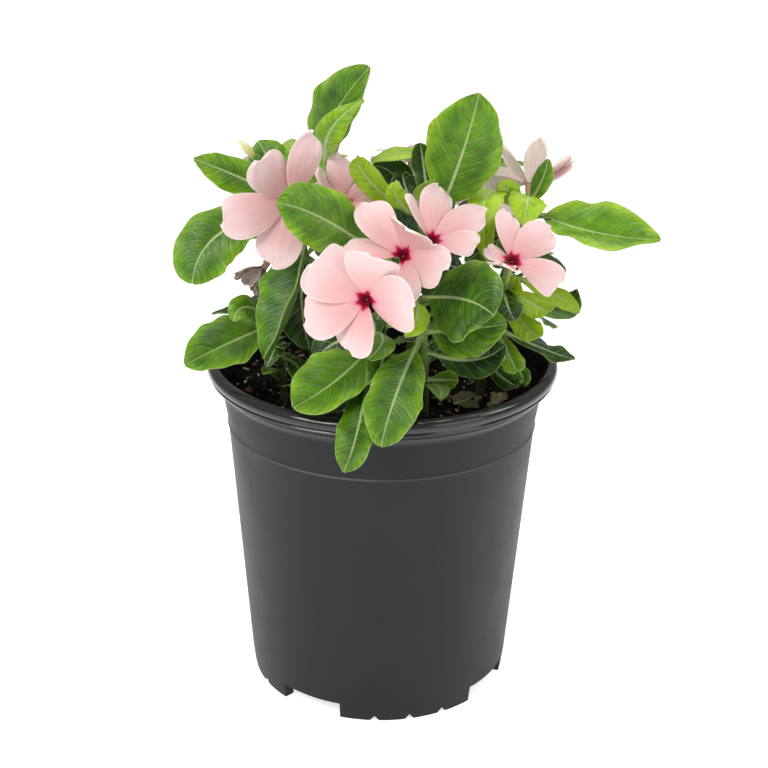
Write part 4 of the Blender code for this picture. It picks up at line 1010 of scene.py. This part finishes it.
class Value:
    """A number that varies over a surface. Sums and products of it add the nodes that they need."""

    def __init__(self, tree, socket):
        self.tree = tree
        self.socket = socket

    def math(self, operation, *others):
        node = self.tree.nodes.new("ShaderNodeMath")
        node.operation = operation
        for socket, value in zip(node.inputs, (self, *others)):
            give(self.tree, socket, value)
        return Value(self.tree, node.outputs[0])

    def __add__(self, other):
        return self.math("ADD", other)

    def __sub__(self, other):
        return self.math("SUBTRACT", other)

    def __mul__(self, other):
        return self.math("MULTIPLY", other)

    def __abs__(self):
        return self.math("ABSOLUTE")

    def step(self, low, high, start=0.0, end=1.0):
        """Goes smoothly from start to end while the value goes from low to high."""
        node = self.tree.nodes.new("ShaderNodeMapRange")
        node.interpolation_type = "SMOOTHSTEP"
        names = ("Value", "From Min", "From Max", "To Min", "To Max")
        for name, value in zip(names, (self, low, high, start, end)):
            give(self.tree, node.inputs[name], value)
        return Value(self.tree, node.outputs["Result"])


SOFT_DEPTH = 0.0012   # how far light goes under a soft surface, in metres


class Shader:
    """One material's nodes: most methods add a node and give back its value."""

    def __init__(self, name, roughness, soft=0.0, soft_colour=(1.0, 0.4, 0.3)):
        self.material = bpy.data.materials.new(name)
        self.material.use_nodes = True
        self.tree = self.material.node_tree
        self.tree.nodes.clear()
        out = self.tree.nodes.new("ShaderNodeOutputMaterial")
        self.surface = self.tree.nodes.new("ShaderNodeBsdfPrincipled")
        self.tree.links.new(self.surface.outputs["BSDF"], out.inputs["Surface"])
        self.set("Roughness", roughness)
        self.set("Subsurface Weight", soft)
        self.set("Subsurface Radius", soft_colour)
        self.set("Subsurface Scale", SOFT_DEPTH)

    def set(self, name, value):
        give(self.tree, self.surface.inputs[name], value)

    def node(self, kind, output, inputs):
        """A new node with its inputs set, and one of its outputs."""
        made = self.tree.nodes.new("ShaderNode" + kind)
        for name, value in inputs.items():
            give(self.tree, made.inputs[name], value)
        return Value(self.tree, made.outputs[output])

    def mix(self, share, low, high):
        """A colour between two others."""
        node = self.tree.nodes.new("ShaderNodeMix")
        node.data_type = "RGBA"
        for index, value in ((0, share), (6, low), (7, high)):
            give(self.tree, node.inputs[index], value)
        return Value(self.tree, node.outputs[2])

    def ramp(self, value, *stops):
        """A colour for each value: stops are (place, colour)."""
        node = self.tree.nodes.new("ShaderNodeValToRGB")
        give(self.tree, node.inputs[0], value)
        marks = node.color_ramp.elements
        for index, (place, colour) in enumerate(stops):
            mark = marks[index] if index < 2 else marks.new(place)
            mark.position = place
            mark.color = (*colour, 1.0)
        return Value(self.tree, node.outputs[0])

    def stored(self, name):
        """A value that the geometry stores at its points."""
        node = self.tree.nodes.new("ShaderNodeAttribute")
        node.attribute_name = name
        return Value(self.tree, node.outputs["Fac"])

    def place(self):
        """Where a point is on the plant, in metres."""
        return self.node("TexCoord", "Object", {})

    def height(self):
        """How high a point is, in metres."""
        return self.node("SeparateXYZ", "Z", {0: self.place()})

    def vector(self, x, y, z):
        return self.node("CombineXYZ", 0, {0: x, 1: y, 2: z})

    def noise(self, scale, detail=3.0, rough=0.5, where=None):
        inputs = {"Vector": where or self.place(), "Scale": scale, "Detail": detail, "Roughness": rough}
        return self.node("TexNoise", "Fac", inputs)

    def bump(self, height, distance, strength):
        inputs = {"Height": height, "Distance": distance, "Strength": strength}
        self.set("Normal", self.node("Bump", 0, inputs))


# Colours: ramps are (place, colour)
LEAF_GREENS = ((0.05, (0.006, 0.026, 0.001)), (0.3, (0.026, 0.09, 0.001)), (0.52, (0.075, 0.2, 0.002)),
               (0.72, (0.16, 0.34, 0.004)), (1.0, (0.36, 0.56, 0.012)))
VEIN_GREEN = (0.36, 0.5, 0.14)
RIB_GREEN = (0.55, 0.66, 0.3)
MARGIN_GREEN = (0.4, 0.52, 0.16)
UNDERSIDE_GREEN = (0.22, 0.3, 0.12)
UNDER_RIB_GREEN = (0.45, 0.52, 0.28)
STEM_GREENS = ((0.3, (0.09, 0.19, 0.02)), (0.7, (0.19, 0.31, 0.05)))
STEM_BROWNS = ((0.3, (0.035, 0.042, 0.013)), (0.7, (0.085, 0.08, 0.03)))
PINK = (0.69, 0.365, 0.37)
PALE_PINK = (0.77, 0.56, 0.55)
CRIMSON = (0.38, 0.001, 0.035)
HALO_PINK = (0.68, 0.14, 0.2)
# Colour of the painted highlight along the petals' edges
RIM_HIGHLIGHT_PINK = (0.92, 0.82, 0.72)
# The pink petals' paler back, lightened further as a painted glow in place of light shining through them
PETAL_BACK_AND_GLOW = (0.84, 0.75, 0.69)
WILTED_PINK = (0.5, 0.28, 0.24)
WILTED_EYE = (0.3, 0.04, 0.05)
WILTED_BROWN = (0.3, 0.2, 0.13)
WILTED_BACK = (0.3, 0.3, 0.3)
WILTED_SHARE = 0.8
TUBE_GREEN = (0.32, 0.4, 0.14)
TUBE_PINK = (0.6, 0.3, 0.26)
# Painted shade deep inside the flower's mouth
MOUTH_SHADE = (0.03, 0.0005, 0.004)
MOUTH_RED = (0.13, 0.001, 0.014)
MOUTH_DOT = (0.45, 0.3, 0.12)
BUD_CREAMS = ((0.0, (0.3, 0.42, 0.1)), (0.3, (0.72, 0.68, 0.28)), (0.9, (0.85, 0.78, 0.5)))
DEAD_BROWNS = ((0.3, (0.04, 0.055, 0.014)), (0.55, (0.13, 0.14, 0.045)), (0.85, (0.42, 0.32, 0.17)))
DEAD_RIB = (0.5, 0.42, 0.22)
POT_BLACKS = ((0.35, (0.013, 0.014, 0.015)), (0.75, (0.018, 0.019, 0.02)))
# Colour of the painted highlight line along the pot's ledge
LEDGE_HIGHLIGHT_GREY = (0.095, 0.095, 0.092)
MIX = ((0.004, 0.003, 0.002), (0.016, 0.011, 0.008))
BARK = ((0.09, 0.045, 0.02), (0.3, 0.18, 0.09))
CRUMB = ((0.005, 0.004, 0.003), (0.045, 0.034, 0.024))
STRAW = ((0.5, 0.4, 0.26), (0.85, 0.75, 0.55))
WHITE_GRAIN = ((0.5, 0.48, 0.45), (0.8, 0.79, 0.76))

# Heights at which a look changes, in metres
RIM_LINE = (0.151, 0.154)
LEDGE_LINE = 0.1335
WOODY_LINE = (0.16, 0.205)


def blade_colour(s, from_vein, from_edge, from_rib, patches, green):
    """The top of a leaf: pale side veins, midrib and margin over its green. Distances in millimetres."""
    vein = from_vein.step(0.05, 0.42, 1.0, 0.0) * from_edge.step(0.5, 4.0, 0.15, 0.65)
    vein = vein * patches.step(0.3, 0.65, 0.35, 1.0)
    colour = s.mix(vein, green, s.mix(0.35, VEIN_GREEN, green))
    rib = (from_rib - s.stored("along").step(0.0, 0.95, 0.75, 0.2)).step(-0.25, 0.25, 0.9, 0.0)
    colour = s.mix(rib, colour, s.mix(0.25, RIB_GREEN, green))
    margin = from_edge.step(0.12, 0.5, 0.85, 0.0)
    return rib, s.mix(margin, colour, s.mix(0.35, MARGIN_GREEN, green))


def leaf_material():
    """Glossy green blades with a tone for each leaf, puckers between the veins with painted shade along
    them, and a greyer underside.
    """
    s = Shader("leaf_green", 0.3)
    along, across, half = s.stored("along"), s.stored("across"), s.stored("half")
    away = abs(across)
    from_rib = away * half
    from_edge = half - from_rib
    arch = away * (away * VEIN_ARCH + 1.0)
    other_side = across.math("GREATER_THAN", 0.0)
    phase = (along - s.stored("lean") * arch) * s.stored("veins") + other_side * 0.5
    from_vein = phase.math("PINGPONG", 0.5) * s.stored("gap")
    patches = s.noise(110.0, 4.0, 0.6)
    puckers = s.noise(0.8, 3.0, 0.6, s.vector(phase * s.stored("gap"), from_rib * 0.13, s.stored("seed")))
    tone = s.stored("tone") + (patches * 0.64 - 0.33) + (puckers * 0.36 - 0.18)
    # Painted shade: the green is darker right beside each side vein, in the grooves, and lighter on the
    # puckers between; it is also lighter towards the margin
    tone = tone + from_vein.step(0.1, 1.6, -0.05, 0.04) + from_edge.step(0.0, 7.0, 0.17, -0.07)
    green = s.ramp(tone, *LEAF_GREENS)
    rib, colour = blade_colour(s, from_vein, from_edge, from_rib, patches, green)
    dull = s.mix(rib * 0.8, s.mix(0.4, green, UNDERSIDE_GREEN), UNDER_RIB_GREEN)
    under = s.stored("under")
    s.set("Base Color", s.mix(under, colour, dull))
    s.set("Roughness", (patches * 0.3 + under).step(0.1, 1.1, 0.26, 0.6))
    s.set("Specular IOR Level", 0.38)
    s.bump(puckers, 0.0008, 0.8)
    return s.material


def rod_material():
    """Stems and stalks: green, reddish-brown and woody low on the stems."""
    s = Shader("stem_green", 0.5, 0.1, (0.5, 1.0, 0.2))
    patches = s.noise(160.0, 4.0)
    low = (s.height() + patches * 0.03).step(*WOODY_LINE, 1.0, 0.0) * s.stored("woody")
    s.set("Base Color", s.mix(low, s.ramp(patches, *STEM_GREENS), s.ramp(patches, *STEM_BROWNS)))
    s.bump(s.noise(1500.0, 2.0), 0.0002, 0.6)
    return s.material


def petal_material(name, limb, edge, eye, back, faded=0.0):
    """A petal: a crimson star with rays at the eye, deeper pink inward, a painted highlight along its rim
    and faint veins.
    """
    s = Shader(name, 0.5)
    along, across, half, reach = s.stored("along"), s.stored("across"), s.stored("half"), s.stored("reach")
    away = abs(across)
    off = away * half
    veins = s.noise(1.6, 2.0, 0.5, s.vector(across * 7.0, along * 0.7, s.stored("seed")))
    patches = s.noise(50.0, 2.0)
    spread = along.step(0.2, 1.0) + away * away * 0.2 + (veins * 0.5 - 0.25) + (patches * 0.5 - 0.25)
    middle = tuple(0.5 * (a + b) for a, b in zip(limb, edge))
    colour = s.ramp(spread, (0.0, limb), (0.6, middle), (1.0, edge))
    colour = s.mix((reach + off * 0.5).step(1.5, 7.5, 0.6, 0.0), colour, HALO_PINK)
    rays = s.noise(1.0, 3.0, 0.7, s.vector(across * 9.0, s.stored("seed"), 0.0))
    star = (reach + off * 1.2 + (rays * 4.4 - 2.2)).step(2.9, 5.0, 1.0, 0.0)
    heart = s.mix(reach.step(0.4, 2.6, 1.0, 0.0), eye, tuple(0.3 * part for part in eye))
    colour = s.mix(star, colour, heart)
    # Painted highlight: a thin pale line along the petal's edge and tip
    rim = (half - off).step(0.1, 0.5, 0.6, 0.0).math("MAXIMUM", along.step(0.97, 0.995, 0.0, 0.6))
    colour = s.mix(rim * along.step(0.25, 0.5), colour, RIM_HIGHLIGHT_PINK)
    if faded:
        colour = s.mix(s.noise(220.0, 4.0).step(0.42, 0.62, 0.2, faded), colour, WILTED_BROWN)
    # The underside is paler; for the pink petals its colour also holds a painted glow in place of light
    # shining through the petal
    pale = s.mix(0.75, colour, tuple(0.25 * a + b for a, b in zip(limb, back)))
    s.set("Base Color", s.mix(s.stored("under"), colour, pale))
    s.set("Specular IOR Level", star * -0.25 + 0.3)
    s.bump(veins, 0.0003, 0.5)
    return s.material


def throat_material():
    """The flower's tube: greenish behind, crimson inside, with painted shade at the bottom around a pale
    yellow dot.
    """
    s = Shader("throat", 0.6)
    depth = s.stored("depth")
    outside = s.mix(depth.step(-9.0, -2.0), TUBE_GREEN, TUBE_PINK)
    # Painted shade: deeper down the mouth the crimson turns near black
    inside = s.mix(depth.step(-0.6, -0.1), MOUTH_SHADE, MOUTH_RED)
    inside = s.mix(depth.step(-1.02, -0.85), MOUTH_DOT, inside)
    s.set("Specular IOR Level", 0.05)
    s.set("Base Color", s.mix(s.stored("inner"), outside, inside))
    return s.material


def bud_material():
    """Closed buds: green at the foot, pale cream yellow above."""
    s = Shader("bud_cream", 0.5, 0.2, (1.0, 0.8, 0.4))
    s.set("Base Color", s.ramp(s.stored("height"), *BUD_CREAMS))
    return s.material


def dead_material():
    """Fallen leaves: dull green fading to brown and straw."""
    s = Shader("dead_leaf", 0.7)
    patches = s.noise(170.0, 5.0, 0.6)
    from_rib = abs(s.stored("across")) * s.stored("half")
    colour = s.ramp(patches * 0.6 + s.stored("tone") * 0.6, *DEAD_BROWNS)
    s.set("Base Color", s.mix(from_rib.step(0.3, 0.8, 0.7, 0.0), colour, DEAD_RIB))
    s.bump(patches, 0.0006, 0.6)
    return s.material


def pot_material():
    """Satin black plastic with faint handling marks and moulding texture, glossier on the rim, with a
    painted highlight line along the ledge.
    """
    s = Shader("pot_black", 0.4)
    marks = s.noise(35.0, 5.0, 0.65)
    rim = s.height().step(*RIM_LINE)
    # Painted highlight: a thin pale grey line along the edge of the ledge
    ledge_highlight = abs(s.height() - LEDGE_LINE).step(0.0002, 0.0006, 0.85, 0.0)
    s.set("Base Color", s.mix(ledge_highlight, s.ramp(marks, *POT_BLACKS), LEDGE_HIGHLIGHT_GREY))
    s.set("Roughness", marks.step(0.3, 0.75, 0.44, 0.54) - rim * 0.34)
    s.set("Specular IOR Level", rim * 0.32 + 0.18)
    s.bump(s.noise(900.0, 3.0), 0.00008, 0.3)
    return s.material


def soil_material(name, dark, light, scale):
    """Damp potting mix, or the crumbs and chips in it."""
    s = Shader(name, 0.95)
    s.set("Specular IOR Level", 0.15)
    grains = s.noise(scale, 6.0, 0.7)
    s.set("Base Color", s.ramp(grains, (0.35, dark), (0.72, light)))
    s.bump(grains, 0.0012, 0.9)
    return s.material


def dress_bloom(spec, rng, pink, wilted, mouth):
    """One flower: its petals, then its tube."""
    old = spec["name"] == "bloom_wilted"
    frill, crumple = (WILTED_FRILL, WILTED_CRUMPLE) if old else (FRILL, 0.0)
    petals = Bundle()
    for index in range(len(spec["petals"])):
        petal_sheet(petals, spec, index, rng.uniform(0, SEEDS), frill, crumple)
    tube = Bundle()
    add_throat(tube, spec)
    petals.build(spec["name"] + "_petals", wilted if old else pink, spec["name"])
    tube.build(spec["name"] + "_tube", mouth, spec["name"])


def dress_plant():
    """Every stem with its leaves, flowers and buds."""
    green = leaf_material()
    stem_green = rod_material()
    pink = petal_material("petal_pink", PINK, PALE_PINK, CRIMSON, PETAL_BACK_AND_GLOW)
    wilted = petal_material("petal_wilted", WILTED_PINK, PALE_PINK, WILTED_EYE, WILTED_BACK, WILTED_SHARE)
    mouth = throat_material()
    cream = bud_material()
    for number, (name, spec) in enumerate(STEMS.items()):
        rng = random.Random(number)
        leaves = Bundle()
        rods = Bundle()
        add_leafy_stem(leaves, rods, spec, rng)
        leaves.build(name + "_leaves", green, name)
        rods.build(name + "_stalks", stem_green, name)
        for one in spec["blooms"]:
            dress_bloom(one, rng, pink, wilted, mouth)
        for one in spec["buds"]:
            closed = Bundle()
            add_bud(closed, one)
            closed.build(one["name"] + "_furled", cream, one["name"])


# Bits in the soil: name, material, number, smallest and largest size, flatness, squash, colours, grain
SOIL_BITS = (
    ("soil_crumbs", "crumb", 1500, 0.5, 2.2, 0.8, 1.0, CRUMB, 1200.0),
    ("bark_chips", "bark", 120, 0.9, 4.6, 0.35, 0.45, BARK, 500.0),
    ("straw_bits", "straw", 700, 0.4, 2.1, 0.35, 0.5, STRAW, 700.0),
    ("white_grains", "perlite", 200, 0.35, 1.1, 0.8, 1.0, WHITE_GRAIN, 900.0),
)
BIG_GRAIN = (-47, 23, 3.2, 0.8, 1.0)   # place (x, y), size, flatness and squash
DEAD_SEED = 3.0
DEAD_LIFT = 2.0
DEAD_FACE = (0, -0.2, 0.98)


def dress_soil():
    """The potting mix with its crumbs, bark chips, pale specks and fallen leaves."""
    rng = random.Random(SOIL_SEED)
    soil_piece(rng)
    for name, kind, count, low, high, flat, squash, colours, grain in SOIL_BITS:
        bits = Bundle()
        for _ in range(count):
            away = SCATTER_REACH * math.sqrt(rng.random())
            angle = rng.uniform(0, math.tau)
            size = low + (high - low) * rng.random() ** SCATTER_SKEW
            add_lump(bits, rng, away * math.cos(angle), away * math.sin(angle), size, flat, squash)
        if name == "white_grains":
            add_lump(bits, rng, *BIG_GRAIN)
        bits.build(name, soil_material(kind, *colours, grain))
    dead = dead_material()
    for name, (foot, middle, tip, width, fold, curl, wave) in FALLEN.items():
        foot, middle, tip = ((x, y, float(soil_height(x, y)) + DEAD_LIFT) for x, y in (foot, middle, tip))
        spec = leaf(0, middle, tip, width, DEAD_FACE, fold, curl, wave,
                    tone=DEEP if name == "fallen_leaf" else BRIGHT)
        sheet = Bundle()
        leaf_sheet(sheet, foot, spec, DEAD_SEED)
        sheet.build(name + "_blade", dead, name)


def photo_camera():
    """The camera that took the photograph, in the frame's place."""
    lens = bpy.data.cameras.new("photo_camera")
    lens.lens = CAMERA_LENS
    lens.sensor_width = SENSOR_WIDTH
    lens.clip_start = CAMERA_NEAR
    camera = placed("photo_camera", lens)
    height = math.radians(CAMERA_ELEVATION)
    back = Vector((0, -math.cos(height), math.sin(height)))
    aim = Vector(CAMERA_AIM) + Vector((POT_X, POT_Y, 0))
    spot = (aim + back * CAMERA_DISTANCE) * MM
    turn = back.to_track_quat("Z", "Y").to_matrix().to_4x4()
    roll = Matrix.Rotation(math.radians(CAMERA_ROLL), 4, "Z")
    camera.matrix_world = Matrix.Translation(spot) @ turn @ roll
    bpy.context.scene.camera = camera


# Studio: lamps are (name, place, size, power), in metres and watts
ROOM_LIGHT = 0.38
FLOOR_SIZE = 8.0
FLOOR_GREY = (0.85, 0.85, 0.85)
FLOOR_GLOW = 0.7
LAMPS = (
    ("key", (-0.75, -0.7, 1.05), 0.55, 11.0),
    ("fill", (0.9, -0.8, 0.6), 0.7, 2.8),
    ("top", (0.1, 0.35, 1.2), 0.7, 5.0),
    ("side", (0.7, 0.05, 0.8), 0.28, 1.6),
)
LAMP_AIM = (0, 0, 0.2)


def soft_light(name, spot, size, power):
    """A square studio lamp that faces the plant."""
    lamp = bpy.data.lights.new(name, "AREA")
    lamp.size = size
    lamp.energy = power
    made = placed(name, lamp)
    made.location = spot
    made.rotation_euler = (Vector(spot) - Vector(LAMP_AIM)).to_track_quat("Z", "Y").to_euler()


def studio():
    """A white backdrop that lights the plant only softly, a pale floor, and lamps for the highlights."""
    world = bpy.data.worlds.new("white_room")
    world.use_nodes = True
    tree = world.node_tree
    room = tree.nodes["Background"]
    room.inputs["Color"].default_value = (1, 1, 1, 1)
    seen = tree.nodes.new("ShaderNodeLightPath")
    strength = tree.nodes.new("ShaderNodeMapRange")
    strength.inputs["To Min"].default_value = ROOM_LIGHT
    strength.inputs["To Max"].default_value = 1.0
    tree.links.new(seen.outputs["Is Camera Ray"], strength.inputs["Value"])
    tree.links.new(strength.outputs["Result"], room.inputs["Strength"])
    bpy.context.scene.world = world
    bpy.ops.mesh.primitive_plane_add(size=FLOOR_SIZE)
    floor = bpy.context.object
    floor.name = "floor"
    pale = Shader("floor_pale", 0.9)
    pale.set("Base Color", FLOOR_GREY)
    pale.set("Emission Color", (1.0, 1.0, 1.0))
    pale.set("Emission Strength", FLOOR_GLOW)
    floor.data.materials.append(pale.material)
    for lamp in LAMPS:
        soft_light(*lamp)
    bpy.context.scene.view_settings.view_transform = "Standard"


pot_piece()
dress_soil()
dress_plant()
studio()
photo_camera()
